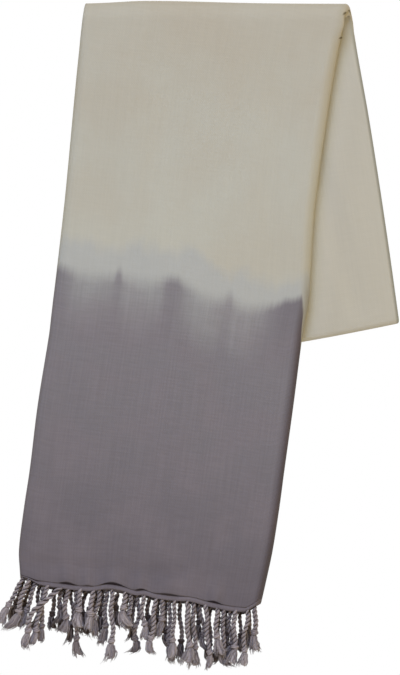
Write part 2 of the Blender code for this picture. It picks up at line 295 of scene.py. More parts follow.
def crease_rise(across, run):
    """Gives how far the creases lift the cloth at a place, out from the bar."""
    rise = 0.0
    for run_a, across_a, run_b, across_b, half_width, height in CREASES[1:]:
        step_run, step_across = run_b - run_a, across_b - across_a
        way = ((run - run_a) * step_run + (across - across_a) * step_across) / (step_run**2 + step_across**2)
        way = min(max(way, 0.0), 1.0)
        off = math.hypot(run - run_a - way * step_run, across - across_a - way * step_across)
        rise += height * smooth(1 - off / half_width)
    return rise


def edge_roll(across, run):
    """Gives how far the folded edges roll back, away from the viewer."""
    left = max(LEFT_ROLL_WIDTH - HALF_WIDTH - across, 0.0) / LEFT_ROLL_WIDTH
    width, back = along(RIGHT_ROLLS, run, "width"), along(RIGHT_ROLLS, run, "back")
    right = max(across - HALF_WIDTH + width, 0.0) / width
    return LEFT_ROLL_BACK * left**2 + back * right**2


roll = edge_roll(HALF_WIDTH, -0.1)
print(f"{len(CREASES) - 1} creases, and the right edge rolls back {1000 * roll:.1f} mm")

# %% Lay the stack over the bar
# The stack swells into a low crown left of the middle, which falls away faster to the left.
CROWN, CROWN_AT, CROWN_LEFT, CROWN_RIGHT = 0.0029, -0.065, 0.039, 0.082
TOP_LIFT = 0.0015
CORNER_WIDTH, CORNER_DROOP = 0.0038, 0.0026
CROWN_FADE = 0.03
ROLL_FADE = 0.030

# Near the top, the right edge is pushed in or out over a short way: the run, how far, and half the way.
NUDGES = (
    ("run", "out", "half_length"),
    (-0.032, -0.0009, 0.016),
    (-0.015, -0.0022, 0.010),
    (0.002, 0.0006, 0.009),
    (0.014, 0.0011, 0.012),
)
NUDGE_WIDTH = 0.022


def edge_nudge(across, run):
    """Gives how far the right edge is pushed out, which fades away from that edge."""
    near = smooth(1 - (HALF_WIDTH - across) / NUDGE_WIDTH)
    return near * sum(out * smooth(1 - abs(run - at) / half) for at, out, half in NUDGES[1:])


def hang(across, run, depth):
    """Lays a point of the doubled stack over the bar, with the waves, creases and rolls."""
    left, right = along(EDGES, run, "left"), along(EDGES, run, "right")
    x = (left + right) / 2 + across / HALF_WIDTH * (right - left) / 2 + edge_nudge(across, run)
    radius = MIDDLE_RADIUS + depth
    corner = max((across - HALF_WIDTH + CORNER_WIDTH) / CORNER_WIDTH, 0.0)
    width = CROWN_LEFT if across < CROWN_AT else CROWN_RIGHT
    crown = TOP_LIFT + CROWN * math.exp(-(((across - CROWN_AT) / width) ** 2))
    crown -= CORNER_DROOP * corner**2
    lift = crown * smooth(1 - abs(run) / CROWN_FADE)
    if abs(run) < QUARTER_TURN:
        angle = run / MIDDLE_RADIUS
        return x, radius * math.sin(angle), radius * math.cos(angle) - BAR_RADIUS + lift
    side = math.copysign(1.0, run)
    fall = abs(run) - QUARTER_TURN
    fade = smooth(fall / WAVE_FADE)
    wave = FRONT_WAVE if side < 0 else BACK_WAVE
    wave *= math.sin((fall / WAVE_LENGTH + WAVE_SLANT * x) * 2 * math.pi)
    y = side * (radius + fade * crease_rise(across, run)) + fade * wave
    y += smooth(fall / ROLL_FADE) * edge_roll(across, run)
    return x, y, -BAR_RADIUS - fall + lift


print("the crown of the top fold:", [round(1000 * c, 1) for c in hang(CROWN_AT, 0.0, STACK_HALF)], "mm")

# %% [markdown]
# ## The hem
#
# A hand-finished hem is never straight. The warp ends are tied off in bunches, and each bunch pulls on
# its spot of the hem. So the cloth above buckles out in shallow arches, and under each arch is a thin
# dark crease. Below the creases a narrow band lies flat, and the tassels hang from its edge.

# %% Shape the hem
HEM_RUN, HEM_TILT, HEM_BOW = 0.5876, 0.0160, 0.0030
CORNER_START, LEFT_LIFT, RIGHT_LIFT = 0.86, 0.0025, 0.0090
HEM_SLOPE = 0.35
BAND_BULGE = 0.0007
LIP, LIP_HEIGHT, ARCH_FADE = 0.0012, 0.0014, 0.030
LIP_SAG, LIP_RISE = 0.0012, 0.70
ARCHES = (
    ("start", "end", "stand_off"),
    (0.006, 0.030, 0.0012),
    (0.035, 0.060, 0.0042),
    (0.061, 0.075, 0.0024),
    (0.077, 0.112, 0.0044),
    (0.112, 0.130, 0.0034),
    (0.131, 0.170, 0.0034),
    (0.188, 0.210, 0.0036),
)

HEM_SHAPE = (
    ("from_left", "raised"),
    (0.000, 0.0014),
    (0.010, 0.0006),
    (0.020, -0.0028),
    (0.042, -0.0044),
    (0.072, -0.0040),
    (0.087, 0.0000),
    (0.102, -0.0002),
    (0.117, -0.0028),
    (0.126, -0.0012),
    (0.136, -0.0030),
    (0.158, -0.0028),
    (0.173, -0.0012),
    (0.195, -0.0032),
    (0.218, -0.0036),
    (0.238, -0.0012),
    (0.248, 0.0010),
)
SHAPE_HEIGHT = 0.05

# The band's height, and how dark the painted shade in the crease above it is: 1 where it is darkest, 0 where
# it doesn't show.
BAND = (
    ("from_left", "height", "dark"),
    (0.000, 0.0014, 1.00),
    (0.010, 0.0018, 1.00),
    (0.017, 0.0028, 0.80),
    (0.023, 0.0042, 0.15),
    (0.034, 0.0048, 0.15),
    (0.042, 0.0048, 0.90),
    (0.054, 0.0048, 1.00),
    (0.060, 0.0048, 0.30),
    (0.068, 0.0048, 0.50),
    (0.076, 0.0048, 0.20),
    (0.084, 0.0048, 1.00),
    (0.098, 0.0048, 1.00),
    (0.108, 0.0048, 0.70),
    (0.112, 0.0048, 0.30),
    (0.118, 0.0048, 0.90),
    (0.127, 0.0048, 1.00),
    (0.134, 0.0048, 0.60),
    (0.150, 0.0048, 0.80),
    (0.166, 0.0048, 0.70),
    (0.176, 0.0048, 0.20),
    (0.188, 0.0048, 0.50),
    (0.196, 0.0048, 1.00),
    (0.206, 0.0048, 1.00),
    (0.214, 0.0048, 0.40),
    (0.248, 0.0042, 0.70),
)


def layer_depth(layer):
    """Gives the depth of a layer's middle, with layer 1 the outermost of the four."""
    return STACK_HALF - CLOTH_THICKNESS / 2 - (layer - 1) * LAYER_PITCH


def hem_run(across, depth):
    """Gives the run of the woven edge, at a place across the towel and a layer's depth."""
    share = across / HALF_WIDTH
    drop = HEM_RUN + HEM_TILT * share - HEM_BOW * (1 - share * share)
    lift = RIGHT_LIFT if share > 0 else LEFT_LIFT
    drop -= lift * smooth((abs(share) - CORNER_START) / (1 - CORNER_START))
    return -(drop + HEM_SLOPE * (layer_depth(1) - depth))


def hem_shape(across, height):
    """Gives how far the front layer's uneven hem is raised, which fades out going up."""
    return along(HEM_SHAPE, across + HALF_WIDTH, "raised") * smooth(1 - height / SHAPE_HEIGHT)


def stand_off(across, height):
    """Gives how far the outer layer stands off the next one, and how far it's raised: the band's bulge,
    and the arches above it, whose lips sag over the band at their ends and are lifted in the middle."""
    from_left = across + HALF_WIDTH
    band = along(BAND, from_left, "height")
    arch = LIP
    for start, end, high in ARCHES[1:]:
        share = min(max((from_left - start) / (end - start), 0.0), 1.0)
        arch += high * math.sin(math.pi * share) ** 2
    above = height - band
    if above < 0:
        return BAND_BULGE * math.sin(math.pi * height / band), 0.0
    fade = smooth(above / LIP_HEIGHT) * smooth(1 - above / ARCH_FADE)
    return arch * fade, (LIP_RISE * (arch - LIP) - LIP_SAG) * fade


print(f"the hem falls {1000 * (hem_run(-HALF_WIDTH, 0) - hem_run(HALF_WIDTH, 0)):.0f} mm to the right")

# %% [markdown]
# ## Folding the sheet and spinning it into a mesh
#
# The section goes across the towel once for each layer, and turns at the folds. A rule then carries
# each point of the section to a station: at a height above the hem, over the bar, or round the
# doubled edge behind. Joining the stations gives one closed sheet with a real thickness. The front
# layer has the most points, because that is where the eye looks.

# %% Fold the section
FRONT_STEPS, HIDDEN_STEPS = 84, 11
EDGE_ZONE, FRONT_EDGE_STEPS, HIDDEN_EDGE_STEPS = 0.014, 12, 5
WIDE_STEPS, TIGHT_STEPS = 8, 4


def straight(layer, start, end, steps, edge_steps, facing):
    """Gives the section's points along one layer, closer together near the rolled right edge. A point
    is: across, depth, the way its face looks, and the layer."""
    low, high = min(start, end), max(start, end)
    turning = high - EDGE_ZONE
    places = [low + (turning - low) * i / steps for i in range(steps)]
    places += [turning + EDGE_ZONE * i / edge_steps for i in range(edge_steps + 1)]
    if end < start:
        places.reverse()
    return [(place, layer_depth(layer), 0.0, facing, layer) for place in places]


def turn(layer, centre, radius, start, end, steps, facing):
    """Gives the section's points round a fold, between its two layers."""
    points = []
    for step in range(1, steps):
        angle = start + (end - start) * step / steps
        out = (math.cos(angle), math.sin(angle))
        place = [c + radius * o for c, o in zip(centre, out)]
        points.append((*place, facing * out[0], facing * out[1], layer))
    return points


def fold_in_four():
    """Folds the width into four: layer 1, the wide turn to 4, the left turn to 3, the inner turn to 2."""
    wide, tight = 1.5 * LAYER_PITCH, 0.5 * LAYER_PITCH
    right = HALF_WIDTH - wide - CLOTH_THICKNESS / 2
    left = -HALF_WIDTH + tight + CLOTH_THICKNESS / 2
    right_centre = (right, (layer_depth(1) + layer_depth(4)) / 2)
    left_centre = (left, (layer_depth(3) + layer_depth(4)) / 2)
    up = math.pi / 2
    front, hidden = (FRONT_STEPS, FRONT_EDGE_STEPS), (HIDDEN_STEPS, HIDDEN_EDGE_STEPS)
    return (
        straight(1, -HALF_WIDTH + OUTER_SELVEDGE, right, *front, 1)
        + turn(1, right_centre, wide, up, -up, WIDE_STEPS, 1)
        + straight(4, right, left, *hidden, -1)
        + turn(3, left_centre, tight, -up, -3 * up, TIGHT_STEPS, 1)
        + straight(3, left, right, *hidden, 1)
        + turn(2, right_centre, tight, -up, up, TIGHT_STEPS, -1)
        + straight(2, right, -HALF_WIDTH + INNER_SELVEDGE, *hidden, -1)
    )


SECTION = fold_in_four()
WAYS = [0.0]
for a, b in zip(SECTION, SECTION[1:]):
    WAYS.append(WAYS[-1] + math.hypot(b[0] - a[0], b[1] - a[1]))
print(f"{len(SECTION)} points across, and the cloth is {WAYS[-1]:.3f} m wide when flat")

# %% Carry the section to its stations
BACK_RUN, BACK_TILT, BACK_SAG = 0.3410, 0.0215, 0.0020
LOW_HEIGHTS = (0.0, 0.0010, 0.0018, 0.0026, 0.0034, 0.0042, 0.0048, 0.0052, 0.0056, 0.0060, 0.0068, 0.0085)
LOW_HEIGHTS += (0.0115, 0.0150, 0.0190, 0.0235, 0.0285, 0.034, 0.040)
CLOSER = 1.3


def back_run(across):
    """Gives the run of the line round which the stack is doubled at the back flap's foot."""
    share = across / HALF_WIDTH
    return BACK_RUN - BACK_TILT * share - BACK_SAG * share * share - STACK_HALF


def at_height(sign, point, reach, rule):
    """Puts a section point at a height above its woven edge. rule gives the height for that edge's run."""
    across, depth, out_across, out_depth, layer = point
    low = hem_run(across, sign * depth)
    height = rule(low)
    run, away = low + height, 0.0
    if layer == 1:
        in_front = (depth - layer_depth(4)) / (layer_depth(1) - layer_depth(4))
        away, raised = stand_off(across, height)
        run += in_front * (hem_shape(across, height) + raised)
        away *= in_front
    place = hang(across + out_across * reach, run, sign * (depth + out_depth * reach + away))
    return place, height


def at_run(sign, point, reach, run):
    """Puts a section point at a run over the bar or down behind."""
    across, depth, out_across, out_depth, layer = point
    place = hang(across + out_across * reach, run, sign * (depth + out_depth * reach))
    return place, run - hem_run(across, sign * depth)


def in_doubling(point, reach, angle):
    """Puts a section point in the turn at the back flap's foot."""
    across, depth, out_across, out_depth, layer = point
    depth += out_depth * reach
    run = back_run(across) + depth * math.sin(angle)
    place = hang(across + out_across * reach, run, depth * math.cos(angle))
    return place, run - hem_run(across, depth * math.cos(angle))


def front_stations(sign, steps):
    """Lists the rules from the hem up to the bar: close together near the hem, and again near the bar."""
    rules = [lambda point, reach, h=h: at_height(sign, point, reach, lambda low: h) for h in LOW_HEIGHTS]
    base = LOW_HEIGHTS[-1]
    for step in range(1, steps):
        share = 1 - (1 - step / steps) ** CLOSER
        rules.append(
            lambda point, reach, share=share: at_height(
                sign, point, reach, lambda low: base + share * (-QUARTER_TURN - low - base)
            )
        )
    return rules


def run_stations(sign, turns):
    """Lists the rules over the bar, from -1 at its front to 1 behind."""
    return [lambda point, reach, t=t: at_run(sign, point, reach, t * QUARTER_TURN) for t in turns]


def back_stations(sign, steps):
    """Lists the rules down the back flap to its foot."""
    rules = []
    for step in range(1, steps):
        share = step / steps
        rules.append(
            lambda point, reach, share=share: at_run(
                sign, point, reach, QUARTER_TURN + share * (back_run(point[0]) - QUARTER_TURN)
            )
        )
    return rules


def doubling_stations(steps):
    """Lists the rules round the doubled edge, from the outer strand to the inner one."""
    angles = [math.pi * i / steps for i in range(steps + 1)]
    return [lambda point, reach, angle=angle: in_doubling(point, reach, angle) for angle in angles]


OUTER_FRONT, INNER_FRONT, BACK_STEPS, DOUBLING_STEPS = 78, 52, 40, 10
OUTER_OVER, INNER_OVER = 22, 12
outer_turns = [-1 + 2 * i / OUTER_OVER for i in range(OUTER_OVER + 1)]
inner_turns = [1 - 2 * i / INNER_OVER for i in range(INNER_OVER + 1)]
STATIONS = (
    front_stations(1, OUTER_FRONT)
    + run_stations(1, outer_turns)
    + back_stations(1, BACK_STEPS)
    + doubling_stations(DOUBLING_STEPS)
    + back_stations(-1, BACK_STEPS)[::-1]
    + run_stations(-1, inner_turns)
    + front_stations(-1, INNER_FRONT)[::-1]
)
INNER_FRONT_STARTS = len(STATIONS) - len(front_stations(-1, INNER_FRONT))
print(f"{len(STATIONS)} stations from one hem to the other")

# %% Spin the cloth
INNER_END_SHIFT = 1.0


def make_form():
    """Starts a mesh's lists of points, faces and thread places."""
    return {"points": [], "faces": [], "threads": []}


def make_piece(name, form, material):
    """Turns the lists into a smooth mesh object whose faces look outward."""
    mesh = bpy.data.meshes.new(name)
    mesh.from_pydata(form["points"], [], form["faces"])
    layer = mesh.uv_layers.new(name="threads")
    layer.data.foreach_set("uv", [value for place in form["threads"] for value in place])
    bm = bmesh.new()
    bm.from_mesh(mesh)
    bmesh.ops.recalc_face_normals(bm, faces=bm.faces)
    bm.to_mesh(mesh)
    bm.free()
    mesh.materials.append(material)
    mesh.shade_smooth()
    piece = bpy.data.objects.new(name, mesh)
    bpy.context.scene.collection.objects.link(piece)
    mesh.calc_loop_triangles()
    print(f"{name}: {len(mesh.loop_triangles)} triangles")
    return piece


def spin_cloth():
    """Joins the stations into one closed sheet, and notes each corner's place among the threads."""
    form = make_form()
    columns = [(point, 1, way) for point, way in zip(SECTION, WAYS)]
    columns += [(point, -1, way) for point, way in zip(SECTION[::-1], WAYS[::-1])]
    count = len(columns)
    threads = []
    for number, rule in enumerate(STATIONS):
        shift = INNER_END_SHIFT if number >= INNER_FRONT_STARTS else 0.0
        for point, side, way in columns:
            place, height = rule(point, side * CLOTH_THICKNESS / 2)
            form["points"].append(place)
            threads.append((way + shift, height))
    for row in range(len(STATIONS) - 1):
        for i in range(count):
            j = (i + 1) % count
            quad = (row * count + i, row * count + j, (row + 1) * count + j, (row + 1) * count + i)
            form["faces"].append(quad)
            form["threads"] += [threads[k] for k in quad]
    for first in (0, (len(STATIONS) - 1) * count):
        for i in range(count // 2 - 1):
            quad = (first + i, first + i + 1, first + count - 2 - i, first + count - 1 - i)
            form["faces"].append(quad)
            form["threads"] += [threads[k] for k in quad]
    return form


cloth_form = spin_cloth()
print(f"{len(cloth_form['points'])} points in the cloth")

# %% [markdown]
# ## The woven and dipped cotton
#
# The towel is plain-woven from unbleached cotton, and its ends were dipped in grey dye. Wet dye climbs
# further along some warp yarns than others, so the edge of the dip is ragged: it has peaks with a dark
# streak below each, soft hollows between, and a faint cool tint above, where only water and a little
# dye reached. The dip's edge is one drawn curve, and noise stretched along the warp roughens it. All of
# it is placed by the threads, in metres, so it follows the cloth through its folds.

# %% The dip's edge
DIP_LOW, DIP_HIGH = 0.240, 0.320
# "dark" is how dark the streak below each place is: 0.8 where much dye climbed, 1 where it is darkest.
DIP = (
    ("from_left", "height", "dark"),
    (0.000, 0.3085, 0.80),
    (0.012, 0.3085, 0.60),
    (0.022, 0.3055, 0.30),
    (0.034, 0.3050, 0.20),
    (0.047, 0.3055, 0.30),
    (0.056, 0.3068, 0.35),
    (0.061, 0.3130, 0.52),
    (0.066, 0.3072, 0.22),
    (0.078, 0.3055, 0.10),
    (0.093, 0.3055, 0.15),
    (0.104, 0.3085, 0.30),
    (0.115, 0.3110, 0.70),
    (0.124, 0.3080, 0.50),
    (0.134, 0.3030, 0.25),
    (0.144, 0.2985, 0.10),
    (0.156, 0.2970, 0.10),
    (0.165, 0.2985, 0.12),
    (0.170, 0.3030, 0.22),
    (0.175, 0.2980, 0.10),
    (0.187, 0.2930, 0.15),
    (0.200, 0.2945, 0.35),
    (0.210, 0.2975, 0.65),
    (0.217, 0.2995, 0.80),
    (0.225, 0.3050, 0.95),
    (0.234, 0.3062, 1.00),
    (0.239, 0.3055, 1.00),
    (0.241, 0.2990, 1.00),
    (0.244, 0.2860, 1.00),
    (0.246, 0.2610, 1.00),
    (0.248, 0.2480, 1.00),
)

# Above the dip is a wide cool band, as high as the clear water climbed.
WATER_LOW, WATER_HIGH = 0.310, 0.350
WATER = (
    ("from_left", "height"),
    (0.000, 0.3360),
    (0.022, 0.3375),
    (0.045, 0.3345),
    (0.070, 0.3410),
    (0.093, 0.3380),
    (0.134, 0.3420),
    (0.146, 0.3330),
    (0.160, 0.3250),
    (0.186, 0.3250),
    (0.205, 0.3190),
    (0.225, 0.3265),
    (0.248, 0.3300),
)


def hand_curve(tree, place, table, name, low, high):
    """Draws a table's named column as a curve over the folded width, and reads it at a place."""
    drawn = add(tree, "FloatCurve", {"Value": place})
    curve = drawn.node.mapping.curves[0]
    drawn.node.mapping.extend = "HORIZONTAL"
    column = table[0].index(name)
    spots = [(row[0] / FOLDED_WIDTH, (row[column] - low) / (high - low)) for row in table[1:]]
    while len(curve.points) < len(spots):
        curve.points.new(0.5, 0.5)
    for point, spot in zip(curve.points, spots):
        point.location = spot
    drawn.node.mapping.update()
    return add(tree, "MapRange", {"Value": drawn, "To Min": low, "To Max": high})


dip_heights = [round(1000 * row[1]) for row in DIP[1:]]
print(f"the dip is {min(dip_heights)} to {max(dip_heights)} mm tall")

# %% Threads and stretched noise
THREAD_MM = 1.1

# The size of a spot across the warp and along it in millimetres, then the noise's detail and its seed.
NOISES = {
    "thick weft yarns": (24.0, 1.7, 2.0, 31.0),
    "thick warp yarns": (1.7, 70.0, 2.0, 61.0),
    "wicking": (2.4, 60.0, 3.0, 11.0),
    "wander of hidden layers": (45.0, 4000.0, 2.0, 3.0),
    "reach of the water": (16.0, 40.0, 3.0, 13.0),
    "streaks": (7.0, 90.0, 2.0, 17.0),
    "rosy patches": (50.0, 45.0, 2.0, 21.0),
    "clouds": (70.0, 90.0, 3.0, 5.0),
    "dents": (16.0, 22.0, 2.0, 41.0),
}


def weave_height(tree, threads):
    """Gives the plain weave's ups and downs. Real threads are 0.6 mm apart, drawn wider so that they show."""
    turns = 1000 * math.pi / THREAD_MM
    scaled = add(tree, "VectorMath", {0: threads, 1: (turns, turns, 0.0)}, operation="MULTIPLY")
    waves = add(tree, "VectorMath", {0: scaled}, operation="SINE")
    parts = add(tree, "SeparateXYZ", {0: waves}).node.outputs
    return add(tree, "Math", {0: parts["X"], 1: parts["Y"]}, operation="MULTIPLY")


def stretched_noise(tree, threads, name):
    """Gives a noise whose spots have one size across the warp and another along it."""
    across_mm, along_mm, detail, seed = NOISES[name]
    scale = (1000 / across_mm, 1000 / along_mm, 0.0)
    scaled = add(tree, "VectorMath", {0: threads, 1: scale}, operation="MULTIPLY")
    moved = add(tree, "VectorMath", {0: scaled, 1: (seed, 1.7 * seed, 0.0)}, operation="ADD")
    return add(tree, "TexNoise", {"Vector": moved, "Scale": 1.0, "Detail": detail}, noise_dimensions="2D")


print(len(NOISES), "noises, and threads drawn", THREAD_MM, "mm apart")

# %% Mask the dip, its water and the hem's crease
WICK_REACH, WATER_REACH = 0.0010, 0.005
WANDER_LOW, WANDER_HIGH, WANDER_FADE = 0.022, 0.040, 0.008
WATER_FULL, WATER_NONE, COOLEST = 0.012, -0.008, 0.9

# The dip's edge is soft where little dye climbed, and sharp where much did: how far it fades each way.
SOFT_BELOW, SHARP_BELOW, SOFT_ABOVE, SHARP_ABOVE = -0.0150, -0.0055, 0.0090, 0.0055

# Heights above the hem's band: where the stroke of painted shade starts and is full, and where it ends.
STROKE_START, STROKE_END = (-0.0005, -0.0001), (0.0014, 0.0008)
# The highest band, how far below the band's top its painted light fades in, and its greatest share.
BAND_HIGH, BAND_FADE, BAND_LIGHT_SHARE = 0.010, -0.0006, 0.15


def dip_masks(tree, threads, across, place, height):
    """Gives how far a spot is above the dip's edge, how dark its streak is, how undyed and how cool it is."""
    edge = hand_curve(tree, place, DIP, "height", DIP_LOW, DIP_HIGH)
    streak = hand_curve(tree, place, DIP, "dark", 0.0, 1.0)
    water = hand_curve(tree, place, WATER, "height", WATER_LOW, WATER_HIGH)

    # On the layers behind, the edge wanders by itself.
    wander = stretched_noise(tree, threads, "wander of hidden layers")
    sway = add(tree, "MapRange", {0: wander, 1: 0.3, 2: 0.7, 3: WANDER_LOW, 4: WANDER_HIGH})
    hidden = add(tree, "MapRange", {0: across, 1: FOLDED_WIDTH, 2: FOLDED_WIDTH + WANDER_FADE})
    away = add(tree, "Math", {0: sway, 1: hidden}, operation="MULTIPLY")
    edge = add(tree, "Math", {0: edge, 1: away}, operation="ADD")
    wick = stretched_noise(tree, threads, "wicking")
    climb = add(tree, "MapRange", {0: wick, 1: 0.3, 2: 0.7, 3: -WICK_REACH, 4: WICK_REACH})
    ragged = add(tree, "Math", {0: edge, 1: climb}, operation="ADD")
    above = add(tree, "Math", {0: height, 1: ragged}, operation="SUBTRACT")
    below_by = add(tree, "MapRange", {0: streak, 3: SOFT_BELOW, 4: SHARP_BELOW})
    above_by = add(tree, "MapRange", {0: streak, 3: SOFT_ABOVE, 4: SHARP_ABOVE})
    undyed = add(tree, "MapRange", {0: above, 1: below_by, 2: above_by}, **SOFT)
    reach = stretched_noise(tree, threads, "reach of the water")
    reached = add(tree, "MapRange", {0: reach, 1: 0.3, 2: 0.7, 3: -WATER_REACH, 4: WATER_REACH})
    water = add(tree, "Math", {0: water, 1: reached}, operation="ADD")
    below_water = add(tree, "Math", {0: water, 1: height}, operation="SUBTRACT")
    cool = add(tree, "MapRange", {0: below_water, 1: WATER_NONE, 2: WATER_FULL, 4: COOLEST}, **SOFT)
    return above, streak, undyed, cool


def crease_mask(tree, place, height):
    """Gives how dark the painted shade in the crease under the hem's lip is, and how much painted light the
    band below it gets.
    """
    band = hand_curve(tree, place, BAND, "height", 0.0, BAND_HIGH)
    dark = hand_curve(tree, place, BAND, "dark", 0.0, 1.0)
    above = add(tree, "Math", {0: height, 1: band}, operation="SUBTRACT")
    for none, full in (STROKE_START, STROKE_END):
        inside = add(tree, "MapRange", {0: above, 1: none, 2: full}, **SOFT)
        dark = add(tree, "Math", {0: inside, 1: dark}, operation="MULTIPLY")
    return dark, add(tree, "MapRange", {0: above, 1: 0.0, 2: BAND_FADE, 4: BAND_LIGHT_SHARE})


print(f"dye wicks {1000 * WICK_REACH:.0f} mm up or down, and water {1000 * WATER_REACH:.0f} mm")

# %% [markdown]
# ## Shade beside the fold, and two pockets
#
# Where the front flap's folded edge crosses the flap behind, less light gets in, and what does is tinted
# by the cream around it. Under these lights that shade comes out greyer and wider than on the real
# towel, so painted shade makes the cloth a little tan close to the line, and painted light makes it a
# little lighter further out. The line is worked out from the edges of both flaps, with no list of points.
# In the top right corner the pressed fold gapes in two small pockets. They are only a few threads wide,
# so their shade is painted as dark marks, not made as holes.

# %% Find where the flaps cross
def crossing(run):
    """Gives the crossing's height above the hem and its way from the left, on the flap behind."""
    left, right = along(EDGES, run, "left"), along(EDGES, run, "right")
    way = (along(EDGES, -run, "right") - left) / (right - left) * FOLDED_WIDTH
    return run - hem_run(way - HALF_WIDTH, -layer_depth(1)), way


FIRST_CROSSING, CROSSINGS_SPAN, CROSSING_STEPS = 0.02, 0.31, 8
runs = [FIRST_CROSSING + CROSSINGS_SPAN * i / CROSSING_STEPS for i in range(CROSSING_STEPS + 1)]
CROSSINGS = [crossing(run) for run in runs]
print(f"the flaps cross {1000 * CROSSINGS[0][1]:.0f} to {1000 * CROSSINGS[-1][1]:.0f} mm from the left")

# %% Mask the shade and the pockets
WAY_LOW, WAY_HIGH = 0.10, 0.26
BETWEEN_FACES, FACES_FADE = 0.0125, 0.001

# How far from the line each mask ends, and how far it is full.
CLOSE_BY, FURTHER_OUT = (0.016, 0.001), (0.032, 0.008)

# Each pocket leans to the right. The last row is the lower pocket's part on the flap behind, where the
# height above the hem grows downward.
POCKETS = (
    ("way", "height", "half_across", "half_up", "lean"),
    (0.2471, 0.5826, 0.0012, 0.0038, 0.5),
    (0.2474, 0.5598, 0.0018, 0.0020, 0.8),
    (0.2334, 0.6368, 0.0018, 0.0022, -0.8),
)


def front_mask(tree):
    """Gives 1 on all that faces the front, and 0 on the back of the flap behind."""
    spot = add(tree, "TexCoord", out="Object")
    depth = add(tree, "SeparateXYZ", {0: spot}).node.outputs["Y"]
    return add(tree, "MapRange", {0: depth, 1: BETWEEN_FACES + FACES_FADE, 2: BETWEEN_FACES - FACES_FADE})


def beside_masks(tree, way, height, there):
    """Gives two masks on the front of the flap behind: painted shade close beside the folded edge, and
    painted light further out.
    """
    first, last = CROSSINGS[0][0], CROSSINGS[-1][0]
    table = [("place", "way")]
    table += [((high - first) / (last - first) * FOLDED_WIDTH, at) for high, at in CROSSINGS]
    place = add(tree, "MapRange", {0: height, 1: first, 2: last})
    line = hand_curve(tree, place, table, "way", WAY_LOW, WAY_HIGH)
    beside = add(tree, "Math", {0: way, 1: line}, operation="SUBTRACT")
    masks = []
    for none, full in (CLOSE_BY, FURTHER_OUT):
        mask = add(tree, "MapRange", {0: beside, 1: none, 2: full}, **SOFT)
        masks.append(add(tree, "Math", {0: mask, 1: there}, operation="MULTIPLY"))
    return masks


def pocket_shade_mask(tree, threads):
    """Gives 1 in the pockets, where their shade is painted, with a soft rim."""
    dark = 0.0
    for way, height, half_across, half_up, lean in POCKETS[1:]:
        away = add(tree, "VectorMath", {0: threads, 1: (way, height, 0.0)}, operation="SUBTRACT")
        sizes = []
        for aim, half in (((1.0, -lean, 0.0), half_across), ((0.0, 1.0, 0.0), half_up)):
            size = add(tree, "VectorMath", {0: away, 1: aim}, "Value", operation="DOT_PRODUCT")
            sizes.append(add(tree, "Math", {0: size, 1: half}, operation="DIVIDE"))
        placed = add(tree, "CombineXYZ", {"X": sizes[0], "Y": sizes[1]})
        far = add(tree, "VectorMath", {0: placed}, "Value", operation="LENGTH")
        inside = add(tree, "MapRange", {0: far, 1: 1.0, 2: 0.3}, **SOFT)
        dark = add(tree, "Math", {0: inside, 1: dark}, operation="MAXIMUM")
    return dark


print("the shade fades over", [round(1000 * (none - full)) for none, full in (CLOSE_BY, FURTHER_OUT)], "mm")

# %% [markdown]
# ## The cotton's colours
#
# Undyed cotton is cream, with broad and faint clouds, and dye never takes evenly. Each colour below is
# laid over the one before it through a mask, from the widest change to the smallest.

# %% Mix the cream and the grey
# The flap behind is made paler by painted light.
CREAM, WARM_CREAM, COOL_CREAM, BACK_FLAP_PAINTED_LIGHT = "#bbb8a7", "#b7af9b", "#b0b0a8", "#beb8a5"
DIP_GREY, DIP_DEEP, DIP_PALE, DIP_ROSE = "#807b7c", "#686165", "#9d9c97", "#82787a"


def cream_colour(tree, cloudy, height, behind, cool):
    """Gives the undyed colour: warmer in its clouds and high up in front, paler in the flap behind by
    painted light, and cooler just above the dip, where only water climbed."""
    clouds = add(tree, "MapRange", {0: cloudy, 1: 0.35, 2: 0.65, 4: 0.4})
    warmer = add(tree, "MapRange", {0: height, 1: 0.42, 2: 0.57, 4: 0.6})
    warm = add(tree, "Math", {0: clouds, 1: warmer}, operation="ADD")
    colour = CREAM
    for mask, coat in ((warm, WARM_CREAM), (behind, BACK_FLAP_PAINTED_LIGHT), (cool, COOL_CREAM)):
        colour = add(tree, "Mix", {0: mask, 6: colour, 7: coat}, **COLOURS)
    return colour


def grey_colour(tree, threads, height, above, streak):
    """Gives the dyed colour: deeper toward the hem and in the darkest streaks, pale just under its edge
    between the streaks, and rosy in patches."""
    deep = add(tree, "MapRange", {0: height, 1: 0.27, 2: 0.0})
    deep = add(tree, "Math", {0: deep, 1: 1.4}, operation="POWER")
    near_edge = add(tree, "MapRange", {0: above, 1: -0.10, 2: -0.02})
    darkest = add(tree, "MapRange", {0: streak, 1: 0.8, 2: 1.0, 4: 0.32})
    darkest = add(tree, "Math", {0: darkest, 1: near_edge}, operation="MULTIPLY")
    deep = add(tree, "Math", {0: deep, 1: darkest}, operation="MAXIMUM")
    pale = add(tree, "MapRange", {0: above, 1: -0.065, 2: -0.006}, **SOFT)
    hollow = add(tree, "MapRange", {0: streak, 2: 0.8, 3: 1.0, 4: 0.0})
    streaks = stretched_noise(tree, threads, "streaks")
    streaky = add(tree, "MapRange", {0: streaks, 1: 0.35, 2: 0.65, 3: 0.8, 4: 1.0})
    for share in (hollow, streaky):
        pale = add(tree, "Math", {0: pale, 1: share}, operation="MULTIPLY")
    mottle = stretched_noise(tree, threads, "rosy patches")
    rosy = add(tree, "MapRange", {0: mottle, 1: 0.38, 2: 0.66, 4: 0.30})
    colour = DIP_GREY
    for mask, coat in ((deep, DIP_DEEP), (pale, DIP_PALE), (rosy, DIP_ROSE)):
        colour = add(tree, "Mix", {0: mask, 6: colour, 7: coat}, **COLOURS)
    return colour


print("cream", CREAM, "and grey", DIP_GREY)

